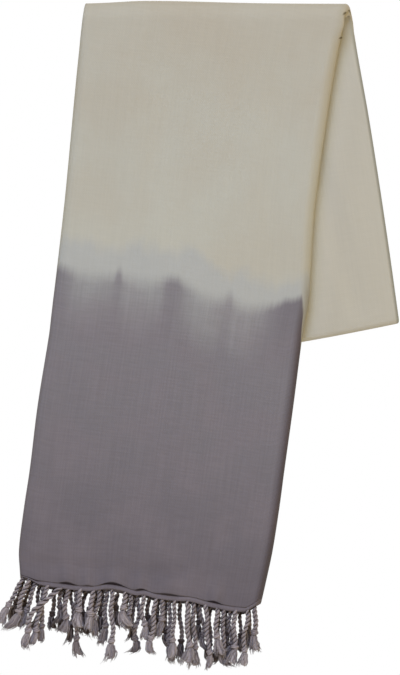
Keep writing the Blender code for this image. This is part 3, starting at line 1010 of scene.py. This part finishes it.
# %% Tint the folds
# Painted shade on the pressed fold: tan on the front flap's rolled edge, darker near the dip and brown where
# dyed, and cool on the back flap's fold edge.
FRONT_FOLD_SHADE_TAN, FRONT_FOLD_SHADE_NEAR_DIP, FRONT_FOLD_SHADE_DYED, FOLD_SHADE = "#f8f5ed", "#dcd5c8", "#ab9f9f", "#c6ced6"
# Painted shade close beside the folded edge on the flap behind, and painted light further out.
BESIDE_PAINTED_SHADE, BESIDE_PAINTED_LIGHT = "#fffdf3", 0.085
# The pockets' painted shade.
POCKET_PAINTED_SHADE = "#6f664c"

# Places across the cloth when flat where a tint of painted shade begins and where it is full, and heights for
# the darker shade near the dip.
FOLD_FROM, FOLD_FULL, TURN_FROM, TURN_FULL = 0.236, 0.2475, 0.260, 0.252
BACK_EDGE_FROM, BACK_EDGE_FULL = 0.2430, 0.2465
NEAR_DIP_FROM, NEAR_DIP_FULL = 0.330, 0.300


def tint_folds(tree, colour, threads, edge, height, behind, undyed):
    """Paints shade on the pressed fold at the right. In front it gets tan painted shade, darker near the dip,
    and brown where it is dyed. Behind, its edge gets cool painted shade. Painted shade and light beside
    the fold, and the pockets' painted shade, follow."""
    turned = add(tree, "MapRange", {0: edge, 1: TURN_FROM, 2: TURN_FULL})
    in_front = add(tree, "Math", {0: 1.0, 1: behind}, operation="SUBTRACT")
    in_front = add(tree, "Math", {0: in_front, 1: turned}, operation="MULTIPLY")
    # Where the front flap's rolled fold gets painted shade.
    folded = add(tree, "MapRange", {0: edge, 1: FOLD_FROM, 2: FOLD_FULL}, **SOFT)
    folded = add(tree, "Math", {0: folded, 1: in_front}, operation="MULTIPLY")
    near_dip = add(tree, "MapRange", {0: height, 1: NEAR_DIP_FROM, 2: NEAR_DIP_FULL}, **SOFT)
    # Painted shade on the back flap's fold edge.
    back_fold_edge = add(tree, "MapRange", {0: edge, 1: BACK_EDGE_FROM, 2: BACK_EDGE_FULL}, **SOFT)
    back_fold_edge = add(tree, "Math", {0: back_fold_edge, 1: behind}, operation="MULTIPLY")
    faces_front = front_mask(tree)
    there = add(tree, "Math", {0: faces_front, 1: behind}, operation="MULTIPLY")
    close, wide = beside_masks(tree, edge, height, there)
    tan = add(tree, "Mix", {0: near_dip, 6: FRONT_FOLD_SHADE_TAN, 7: FRONT_FOLD_SHADE_NEAR_DIP}, **COLOURS)
    tan = add(tree, "Mix", {0: undyed, 6: FRONT_FOLD_SHADE_DYED, 7: tan}, **COLOURS)
    # Painted shade: on the front fold, on the back flap's fold edge, and close beside the folded edge.
    for mask, tint in ((folded, tan), (back_fold_edge, FOLD_SHADE), (close, BESIDE_PAINTED_SHADE)):
        tint = add(tree, "Mix", {0: mask, 6: WHITE, 7: tint}, **COLOURS)
        colour = add(tree, "VectorMath", {0: colour, 1: tint}, operation="MULTIPLY")
    # Painted light further out beside the folded edge.
    lighter = add(tree, "Math", {0: wide, 1: BESIDE_PAINTED_LIGHT, 2: 1.0}, operation="MULTIPLY_ADD")
    colour = add(tree, "VectorMath", {0: colour, "Scale": lighter}, operation="SCALE")
    # The pockets' shade is painted dark.
    pockets = add(tree, "Math", {0: pocket_shade_mask(tree, threads), 1: faces_front}, operation="MULTIPLY")
    return add(tree, "Mix", {0: pockets, 6: colour, 7: POCKET_PAINTED_SHADE}, **COLOURS)


print("the folds are tinted with", FRONT_FOLD_SHADE_TAN, "over the cream")

# %% Make the cotton
# Painted shade in the crease above the hem's band, and painted light on the band.
SEAM_PAINTED_SHADE, BAND_PAINTED_LIGHT = "#20131c", "#a0969c"
WEAVE_HEIGHT, SLUB_HEIGHT, RUMPLE_HEIGHT = 0.00002, 0.00004, 0.00025
BEHIND_FROM, BEHIND_FULL = 0.60, 0.64
SLUB_SHADE, WARP_SHADE, WEAVE_SHADE = 0.02, 0.022, 0.004


def make_cloth_finish():
    """Plain-woven cotton, dull and slightly uneven, cream above and dipped grey below."""
    material, tree = new_material("plain_woven_cotton")
    threads = add(tree, "UVMap", uv_map="threads")
    parts = add(tree, "SeparateXYZ", {0: threads}).node.outputs
    way, height = parts["X"], parts["Y"]
    place = add(tree, "Math", {0: way, 1: FOLDED_WIDTH}, operation="DIVIDE", use_clamp=True)
    above, streak, undyed, cool = dip_masks(tree, threads, way, place, height)
    cloudy = stretched_noise(tree, threads, "clouds")
    behind = add(tree, "MapRange", {0: height, 1: BEHIND_FROM, 2: BEHIND_FULL})
    cream = cream_colour(tree, cloudy, height, behind, cool)
    grey = grey_colour(tree, threads, height, above, streak)
    colour = add(tree, "Mix", {0: undyed, 6: grey, 7: cream}, **COLOURS)
    edge = add(tree, "Math", {0: way, 1: INNER_END_SHIFT}, operation="MODULO")
    colour = tint_folds(tree, colour, threads, edge, height, behind, undyed)

    # The hem's band gets painted light, and the crease above it painted shade, in thick strokes under
    # the arches.
    crease_shade, band_light = crease_mask(tree, place, height)
    for mask, coat in ((band_light, BAND_PAINTED_LIGHT), (crease_shade, SEAM_PAINTED_SHADE)):
        colour = add(tree, "Mix", {0: mask, 6: colour, 7: coat}, **COLOURS)

    # Thick and thin weft yarns, less even warp yarns, and the weave itself, shade the colour a little.
    # They show more where the dye has sunk in.
    slubs = stretched_noise(tree, threads, "thick weft yarns")
    warps = stretched_noise(tree, threads, "thick warp yarns")
    weave = weave_height(tree, threads)
    shade = 1.0
    for source, low, high, change in (
        (slubs, 0.3, 0.7, SLUB_SHADE),
        (warps, 0.3, 0.7, WARP_SHADE),
        (weave, -1.0, 1.0, WEAVE_SHADE),
    ):
        part = add(tree, "MapRange", {0: source, 1: low, 2: high, 3: 1 - change, 4: 1 + change})
        shade = add(tree, "Math", {0: shade, 1: part}, operation="MULTIPLY")
    uneven = add(tree, "Math", {0: shade, 1: 1.0}, operation="SUBTRACT")
    showing = add(tree, "MapRange", {0: undyed, 3: 1.8, 4: 0.6})
    shade = add(tree, "Math", {0: uneven, 1: showing, 2: 1.0}, operation="MULTIPLY_ADD")
    colour = add(tree, "VectorMath", {0: colour, "Scale": shade}, operation="SCALE")

    soft = stretched_noise(tree, threads, "dents")
    dents = add(tree, "Bump", {"Height": soft, "Distance": RUMPLE_HEIGHT})
    ribs = add(tree, "Bump", {"Height": slubs, "Distance": SLUB_HEIGHT, "Normal": dents})
    ups = add(tree, "Bump", {"Height": weave, "Distance": WEAVE_HEIGHT, "Normal": ribs})
    rough = add(tree, "MapRange", {0: cloudy, 1: 0.3, 2: 0.7, 3: 0.86, 4: 0.95})
    look = {"Base Color": colour, "Roughness": rough, "Normal": ups, "IOR": 1.5, "Specular IOR Level": 0.25}
    look |= {"Sheen Weight": 0.08, "Sheen Roughness": 0.5}
    add(tree, "OutputMaterial", {"Surface": add(tree, "BsdfPrincipled", look)})
    return material


cotton = make_cloth_finish()
print(f"{cotton.name}: {len(cotton.node_tree.nodes)} nodes")

# %% Make the cloth
cloth = make_piece("cotton_cloth", cloth_form, cotton)

# %% [markdown]
# ## The fringe
#
# The warp ends beyond the hem are gathered in bunches. Each bunch is twisted in two plies, the plies
# are wound round each other into a cord, and an overhand knot stops the cord from unwinding. Below the
# knot the ends stay loose and fray into a small brush. A curve with a round bevel would give a smooth
# string, so each ply is its own tube on a helix, the knot is a short tight coil, and the brush is a
# bundle of tapering yarns. Every tassel hangs on the same line as the plain strand that it replaces.

# %% Where the tassels hang
# A row is a layer: where its first tassel stands from the left edge, the column of the tables below
# that it follows, and its share of that drop. The inner end hangs behind the outer one.
FRINGE_COLUMNS = ("layer", "first", "like", "share")
FRINGE = {
    "outer": ((1, 0.0098, 1, 1.0), (2, -0.0037, 2, 1.0), (3, 0.0160, 3, 1.0), (4, 0.0233, 4, 1.0)),
    "inner": ((1, 0.0120, 3, 0.90), (2, 0.0020, 3, 0.94), (3, 0.0190, 4, 0.80), (4, 0.0098, 3, 0.84)),
}
FIRST_ROOT_INSET, LAST_ROOT_INSET = 0.0035, 0.0055
TASSEL_PITCH = 0.0322

# How far a tassel swings to the right, and how far it hangs down. A row is a place along the hem, from
# the left, and the columns are the tassels of layers 1 to 4 there.
SWINGS_MM = (
    (-16, -20, -14, -3),
    (-36, -15, -4, 1),
    (-6, -3, -7, -4),
    (-3, 0, -4, -3),
    (-7, 0, -2, 0),
    (2, -2, 2, 4),
    (-1, 5, -1, 0),
    (-6, -2, 0, 0),
)
DROPS_MM = (
    (51, 46, 46, 59),
    (59, 62, 48, 70),
    (39, 42, 48, 55),
    (36, 69, 37, 60),
    (55, 46, 40, 64),
    (62, 61, 65, 49),
    (46, 65, 60, 52),
    (55, 56, 46, 50),
)
NECK_DROP, NECK_SPREAD, FULL_SPREAD = 0.0045, 1.5, 2.35
SPREAD_DROP, SWING_BEND = 0.016, 1300
WOBBLE_LENGTH, WOBBLE_START = 0.036, 0.015
BRUSH_LENGTH, BRUSH_CHANGE = 0.0180, 0.0022


def tassel_roots(strand):
    """Lists each tassel's layer, its number from the left, and its root's place across the towel."""
    roots = []
    for layer, first, *_ in FRINGE[strand]:
        for number in range(len(SWINGS_MM)):
            from_left = max(first + number * TASSEL_PITCH, FIRST_ROOT_INSET)
            if from_left < FOLDED_WIDTH - LAST_ROOT_INSET:
                roots.append((layer, number, from_left - HALF_WIDTH))
    return roots


def tassel_sizes(strand, layer, number):
    """Gives a tassel's swing, its drop and the length of its brush, in metres."""
    row = dict(zip(FRINGE_COLUMNS, FRINGE[strand][layer - 1]))
    swing, drop = (table[number][row["like"] - 1] / 1000 for table in (SWINGS_MM, DROPS_MM))
    brush = BRUSH_LENGTH + BRUSH_CHANGE * math.sin(2.4 * number + layer)
    return swing, row["share"] * drop, brush


def tassel_line(strand, layer, root, swing, drop, wobble, phase):
    """Makes the rule for the middle of a tassel at any way down from its root."""
    sign = 1 if strand == "outer" else -1
    away = -sign * layer_depth(layer)
    bend = 1 + SWING_BEND * swing * swing

    def middle(down):
        share = min(down / drop, 1.0)
        opening = smooth((down - NECK_DROP) / SPREAD_DROP)
        spread = (NECK_SPREAD - 1) * smooth(down / NECK_DROP) + (FULL_SPREAD - NECK_SPREAD) * opening
        aside = swing * (1 - (1 - share) ** bend)
        aside += wobble * math.sin(2 * math.pi * down / WOBBLE_LENGTH + phase) * smooth(down / WOBBLE_START)
        return Vector((root[0] + aside, root[1] + away * spread, root[2] - down))

    return middle


print({strand: len(tassel_roots(strand)) for strand in FRINGE}, "tassels")

# %% Tubes and the frames they follow
def frames_along(line, start, end, steps):
    """Gives evenly spaced frames down a line: its point, its way, and two directions across it."""
    frames = []
    nudge = 0.0002
    for i in range(steps + 1):
        down = start + (end - start) * i / steps
        way = (line(down + nudge) - line(down - nudge)).normalized()
        side = (Vector((1, 0, 0)) - way * way.x).normalized()
        frames.append((line(down), way, side, way.cross(side), down))
    return frames


def add_tube(form, centres, sides, around, shift):
    """Adds a closed tube. centres gives each ring's middle, the directions across it and its two radii.
    Its place among the threads starts at "around", and goes one unit round the tube."""
    first = len(form["points"])
    for middle, a, b, radius_a, radius_b, way in centres:
        for side in range(sides):
            angle = 2 * math.pi * side / sides
            out = a * (radius_a * math.cos(angle)) + b * (radius_b * math.sin(angle))
            form["points"].append(middle + out)
    last = len(centres) - 1
    for row in range(last):
        low, high = centres[row][5] + shift, centres[row + 1][5] + shift
        for side in range(sides):
            near, far = first + row * sides + side, first + row * sides + (side + 1) % sides
            form["faces"].append((near, far, far + sides, near + sides))
            left, right = around + side / sides, around + (side + 1) / sides
            form["threads"] += [(left, low), (right, low), (right, high), (left, high)]
    for row in (0, last):
        form["faces"].append([first + row * sides + side for side in range(sides)])
        form["threads"] += [(around + side / sides, centres[row][5] + shift) for side in range(sides)]


print("tubes ready: their rings are joined by four-cornered faces, and their ends are closed")

# %% Wind the plies
PLY_RADIUS, PLY_OFFSET, PLY_TURN = 0.00138, 0.00126, 0.0088
PLY_SIDES, PLY_STEP, LEAST_STEPS = 9, 0.0008, 12
ROOT_SHARE, ROOT_LENGTH = 0.62, 0.004


def add_plies(form, line, knot, size, phase, shift):
    """Winds two plies round each other, from the hem to the knot."""
    frames = frames_along(line, 0.0, knot, max(LEAST_STEPS, round(knot / PLY_STEP)))
    for half in (0, math.pi):
        middles = []
        for middle, way, side, face, down in frames:
            grown = ROOT_SHARE + (1 - ROOT_SHARE) * smooth(down / ROOT_LENGTH)
            angle = 2 * math.pi * down / PLY_TURN + phase + half
            out = side * math.cos(angle) + face * math.sin(angle)
            middles.append((middle + out * (PLY_OFFSET * size * grown), out, PLY_RADIUS * size * grown, down))
        rings = []
        for i, (middle, out, radius, down) in enumerate(middles):
            before, after = middles[max(i - 1, 0)][0], middles[min(i + 1, len(middles) - 1)][0]
            across = (after - before).normalized().cross(out)
            rings.append((middle, out, across, radius, radius, down))
        add_tube(form, rings, PLY_SIDES, 0.0, shift + half)


print(f"a ply is {2000 * PLY_RADIUS:.1f} mm thick, and turns once in {1000 * PLY_TURN:.1f} mm")

# %% Tie the knot
KNOT_RADIUS, KNOT_YARN, KNOT_TURNS, KNOT_LENGTH = 0.0023, 0.0017, 2.1, 0.0048
KNOT_STEPS, KNOT_SIDES, KNOT_LEAN, KNOT_TAPER = 26, 8, 0.35, 0.35
KNOT_HEART_STEPS, KNOT_HEART_SWELL, KNOT_HEART_STRETCH = 6, 1.25, 1.5


def add_knot(form, line, knot, size, phase, shift):
    """Ties the cord in an overhand knot: a tight coil leaning over a round heart."""
    middle, way, side, face, down = frames_along(line, knot, knot + KNOT_LENGTH, 1)[0]
    axis = (way + side * KNOT_LEAN * math.cos(phase)).normalized()
    across = (side - axis * side.dot(axis)).normalized()
    front = axis.cross(across)
    rings = []
    for i in range(KNOT_STEPS + 1):
        share = i / KNOT_STEPS
        angle = 2 * math.pi * KNOT_TURNS * share + phase
        out = across * math.cos(angle) + front * math.sin(angle)
        along_axis = axis * ((share - 0.5) * KNOT_LENGTH)
        end = math.sin(math.pi * min(max(share, 0.04), 0.96)) ** KNOT_TAPER
        spot = middle + out * (KNOT_RADIUS * size * end) + along_axis
        rings.append((spot, out, axis, KNOT_YARN * size * end, KNOT_YARN * size * end, 0.01 * share))
    add_tube(form, rings, KNOT_SIDES, 0.0, shift)
    heart = []
    for i in range(KNOT_HEART_STEPS + 1):
        share = i / KNOT_HEART_STEPS
        swell = max(math.sin(math.pi * share), 0.05) ** 0.5 * KNOT_RADIUS * KNOT_HEART_SWELL * size
        spot = middle + axis * ((share - 0.5) * KNOT_LENGTH * KNOT_HEART_STRETCH)
        heart.append((spot, across, front, swell, swell, 0.01 * share))
    add_tube(form, heart, KNOT_SIDES, 0.0, shift)


print(f"a knot is {1000 * KNOT_LENGTH:.1f} mm long")

# %% Fray the brush
BRUSH_STEPS, BRUSH_SIDES, BRUSH_HEART_SHARE = 8, 10, 0.9
BRUSH_YARNS, BRUSH_YARN_RADIUS, YARN_SIDES, YARN_STEPS = 26, 0.00062, 5, 7
BRUSH_HALF_WIDTH, BRUSH_FLAT, TIE_RADIUS = 0.0050, 0.70, 0.0017
FLARE_TURN, FLARE_END, FLARE_POWER = 2.2, 1.15, 0.8
BRUSH_LEAN, BRUSH_CURL, BRUSH_PARTING = 0.0038, 0.0066, 0.0030
GOLDEN_ANGLE, SWAY_TURN = 2.39996, 6.28

# The loose ends' places among the threads start here, so that the finish can tell them from the plies.
LOOSE = 2.0


def add_brush(form, line, start, length, size, draw, shift):
    """Frays the loose ends: a tapering heart with yarns laid round it, some longer than others."""
    frames = frames_along(line, start, start + length, BRUSH_STEPS)
    lean = draw.uniform(-BRUSH_LEAN, BRUSH_LEAN)
    curl = draw.choice((0.0, 0.0, -1.0, 1.0)) * draw.uniform(0.4, 1.0) * BRUSH_CURL
    parting = draw.choice((0.0, 1.0)) * draw.uniform(0.4, 1.0) * BRUSH_PARTING
    reach = BRUSH_HALF_WIDTH * size * draw.uniform(0.62, 1.12)

    def flare_at(share):
        turned = math.sin(min(share, FLARE_END) * FLARE_TURN)
        return TIE_RADIUS + (reach - TIE_RADIUS) * turned**FLARE_POWER

    def spot(share, out_side, out_face):
        at = min(share, 1.0) * BRUSH_STEPS
        i = min(int(at), BRUSH_STEPS - 1)
        middle = frames[i][0].lerp(frames[i + 1][0], at - i) - Vector((0, 0, max(share - 1, 0) * length))
        flare = flare_at(share)
        aside = (lean + parting * math.copysign(1.0, out_side)) * share * share + curl * share**3
        side, face = frames[i][2], frames[i][3]
        return middle + side * (out_side * flare + aside) + face * (out_face * flare * BRUSH_FLAT), side, face

    heart = []
    for i in range(YARN_STEPS + 1):
        share = BRUSH_HEART_SHARE * i / YARN_STEPS
        middle, side, face = spot(share, 0.0, 0.0)
        flare = flare_at(share) * (0.78 - 0.35 * share**4)
        heart.append((middle, side, face, flare, flare * BRUSH_FLAT, share * length))
    add_tube(form, heart, BRUSH_SIDES, LOOSE, shift)

    for yarn in range(BRUSH_YARNS):
        angle = yarn * GOLDEN_ANGLE + draw.uniform(-0.2, 0.2)
        rim = draw.uniform(0.72, 1.0) if yarn % 4 else draw.uniform(0.2, 0.6)
        ends = draw.uniform(0.78, 1.12)
        wave, beat = draw.uniform(0.0001, 0.0009), draw.uniform(1.0, 2.5)
        rings = []
        for i in range(YARN_STEPS + 1):
            share = ends * i / YARN_STEPS
            sway = wave * math.sin(beat * SWAY_TURN * share + angle)
            middle, side, face = spot(share, rim * math.cos(angle), rim * math.sin(angle))
            radius = BRUSH_YARN_RADIUS * size * (1 - 0.75 * (i / YARN_STEPS) ** 3)
            rings.append((middle + side * sway, side, face, radius, radius, share * length))
        add_tube(form, rings, YARN_SIDES, LOOSE, shift + yarn)


print("a brush has", BRUSH_YARNS, "yarns")

# %% Put one tassel together
ROOT_BACK, ROOT_UP = 0.0004, 0.0006
WOBBLE, SLIMMER_BEHIND = 0.0019, 0.025

# Each tassel's places among the threads are moved on, so that the finish can tell how far behind it is.
NUMBER_STEP, RANK_STEP = 3.0, 99.0


def add_tassel(form, strand, layer, number, across, draw):
    """Makes one tassel: cord, knot and brush, on the line of its solid."""
    swing, drop, brush = tassel_sizes(strand, layer, number)
    sign = 1 if strand == "outer" else -1
    start = (across, layer_depth(layer) - ROOT_BACK, 0.0, 0.0, layer)
    root = at_height(sign, start, 0.0, lambda low: ROOT_UP)[0]
    rank = layer if strand == "outer" else 9 - layer
    size = draw.uniform(0.90, 1.12) * (1 - SLIMMER_BEHIND * (rank - 1))
    phase = draw.uniform(0, 2 * math.pi)
    line = tassel_line(strand, layer, Vector(root), swing, drop, draw.uniform(0.2, 1.0) * WOBBLE, phase)
    shift = RANK_STEP * rank + NUMBER_STEP * number
    knot = drop - brush
    add_plies(form, line, knot, size, phase, shift)
    add_knot(form, line, knot, size, phase, shift)
    add_brush(form, line, knot + KNOT_LENGTH / 2, brush - KNOT_LENGTH / 2, size, draw, shift)


print(f"the strands behind are up to {100 * SLIMMER_BEHIND * 7:.0f}% slimmer")

# %% [markdown]
# ## The twisted yarn
#
# The fringe is the warp's own cotton yarn, dyed grey with the cloth. Twisted yarn has fine ridges with
# shaded hollows, and its loose ends are rough and mixed in tone. Each fibre could be a hair, but that is
# slow, and the plies would be lost in fuzz. So sine waves and noise along each ply, drawn by its places
# among the threads, raise the ridges and paint shade into the hollows. The strands behind get painted
# shade too.

# %% The yarn's finish
YARN_GREY, YARN_ROSE = "#a89e9f", "#b0a6a6"
LOOSE_PALE, LOOSE_DARK = "#c4bab9", "#908687"
# Painted shade: in the yarn's hollows, and on the strands behind, lighter toward their lower ends.
YARN_HOLLOW_SHADE, YARN_SHADE_BEHIND, YARN_SHADE_BEHIND_LOW = "#3b3334", "#3a2b23", "#8a7c75"
YARNS_A_PLY, YARN_TWIST = 5, -120.0
YARN_GROOVE, FIBRE_HEIGHT = 0.00012, 0.00005
BUNCH_SCALE, FIBRES_ROUND, FIBRES_A_METRE = 0.37, 9.0, 900.0


def make_yarn_finish():
    """Twisted cotton yarn, dyed grey and very dull, with fine ridges along each ply and uneven loose ends."""
    material, tree = new_material("twisted_cotton_yarn")
    threads = add(tree, "UVMap", uv_map="threads")
    parts = add(tree, "SeparateXYZ", {0: threads}).node.outputs
    loose = add(tree, "Math", {0: parts["X"], 1: LOOSE - 0.5}, operation="GREATER_THAN")
    twist = add(tree, "Math", {0: parts["Y"], 1: YARN_TWIST, 2: parts["X"]}, operation="MULTIPLY_ADD")
    turned = add(tree, "Math", {0: twist, 1: 2 * math.pi * YARNS_A_PLY}, operation="MULTIPLY")
    ridges = add(tree, "Math", {0: turned}, operation="SINE")
    round_ply = add(tree, "Math", {0: parts["X"], 1: 2 * math.pi}, operation="MULTIPLY")
    outward = add(tree, "Math", {0: round_ply}, operation="COSINE")
    fibres = (FIBRES_ROUND, FIBRES_A_METRE, 0.0)
    fibre_place = add(tree, "VectorMath", {0: threads, 1: fibres}, operation="MULTIPLY")
    bunch, fibre = (
        add(tree, "TexNoise", {"Vector": at, "Scale": scale, "Detail": detail}, noise_dimensions="2D")
        for at, scale, detail in ((threads, BUNCH_SCALE, 1.0), (fibre_place, 1.0, 2.0))
    )
    tone = add(tree, "MapRange", {0: bunch, 1: 0.35, 2: 0.65})

    # Shade is painted into the hollows between yarns and between plies. The strands behind get painted
    # shade, most of all just below the hem.
    dark = add(tree, "MapRange", {0: ridges, 1: -1.0, 2: 0.2, 3: 0.5, 4: 0.0})
    hollow = add(tree, "MapRange", {0: outward, 1: 0.55, 2: -0.25, 3: 0.0, 4: 0.85})
    dark = add(tree, "Math", {0: dark, 1: hollow}, operation="MAXIMUM")
    behind = add(tree, "MapRange", {0: parts["Y"], 1: 2 * RANK_STEP, 2: 6 * RANK_STEP, 4: 0.9})
    down = add(tree, "Math", {0: parts["Y"], 1: NUMBER_STEP}, operation="MODULO")
    lower = add(tree, "MapRange", {0: down, 1: 0.008, 2: 0.030})
    colour, ends, behind_shade = (
        add(tree, "Mix", {0: mask, 6: first, 7: second}, **COLOURS)
        for mask, first, second in (
            (tone, YARN_GREY, YARN_ROSE),
            (tone, LOOSE_PALE, LOOSE_DARK),
            (lower, YARN_SHADE_BEHIND, YARN_SHADE_BEHIND_LOW),
        )
    )
    for mask, coat in ((dark, YARN_HOLLOW_SHADE), (loose, ends), (behind, behind_shade)):
        colour = add(tree, "Mix", {0: mask, 6: colour, 7: coat}, **COLOURS)
    shade = add(tree, "MapRange", {0: fibre, 1: 0.3, 2: 0.7, 3: 0.86, 4: 1.12})
    colour = add(tree, "VectorMath", {0: colour, "Scale": shade}, operation="SCALE")
    groove = add(tree, "Bump", {"Height": ridges, "Distance": YARN_GROOVE})
    fuzz = add(tree, "Bump", {"Height": fibre, "Distance": FIBRE_HEIGHT, "Normal": groove})
    look = {"Base Color": colour, "Roughness": 0.92, "Normal": fuzz, "Specular IOR Level": 0.10}
    look |= {"Sheen Weight": 0.05, "Sheen Roughness": 0.5}
    add(tree, "OutputMaterial", {"Surface": add(tree, "BsdfPrincipled", look)})
    return material


yarn = make_yarn_finish()
print(f"{yarn.name}: {YARNS_A_PLY} yarns a ply")

# %% Grow both fringes
fringes = []
for strand in ("outer", "inner"):
    draw = random.Random(f"{strand} fringe")
    fringe_form = make_form()
    for layer, number, across in tassel_roots(strand):
        add_tassel(fringe_form, strand, layer, number, across, draw)
    fringes.append(make_piece(f"{strand}_tassels", fringe_form, yarn))

# %% [markdown]
# ## Tying it to the solids
#
# The fine pieces now stand for the plain ones, which are hidden, and ride on the towel's one body.

# %% Attach the fine pieces and hide the plain ones
for piece, node, finish in (
    (cloth, "towel_cloth", "cloth"),
    (fringes[0], "outer_fringe", "yarn"),
    (fringes[1], "inner_fringe", "yarn"),
):
    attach(piece, "root")
    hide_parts(node)
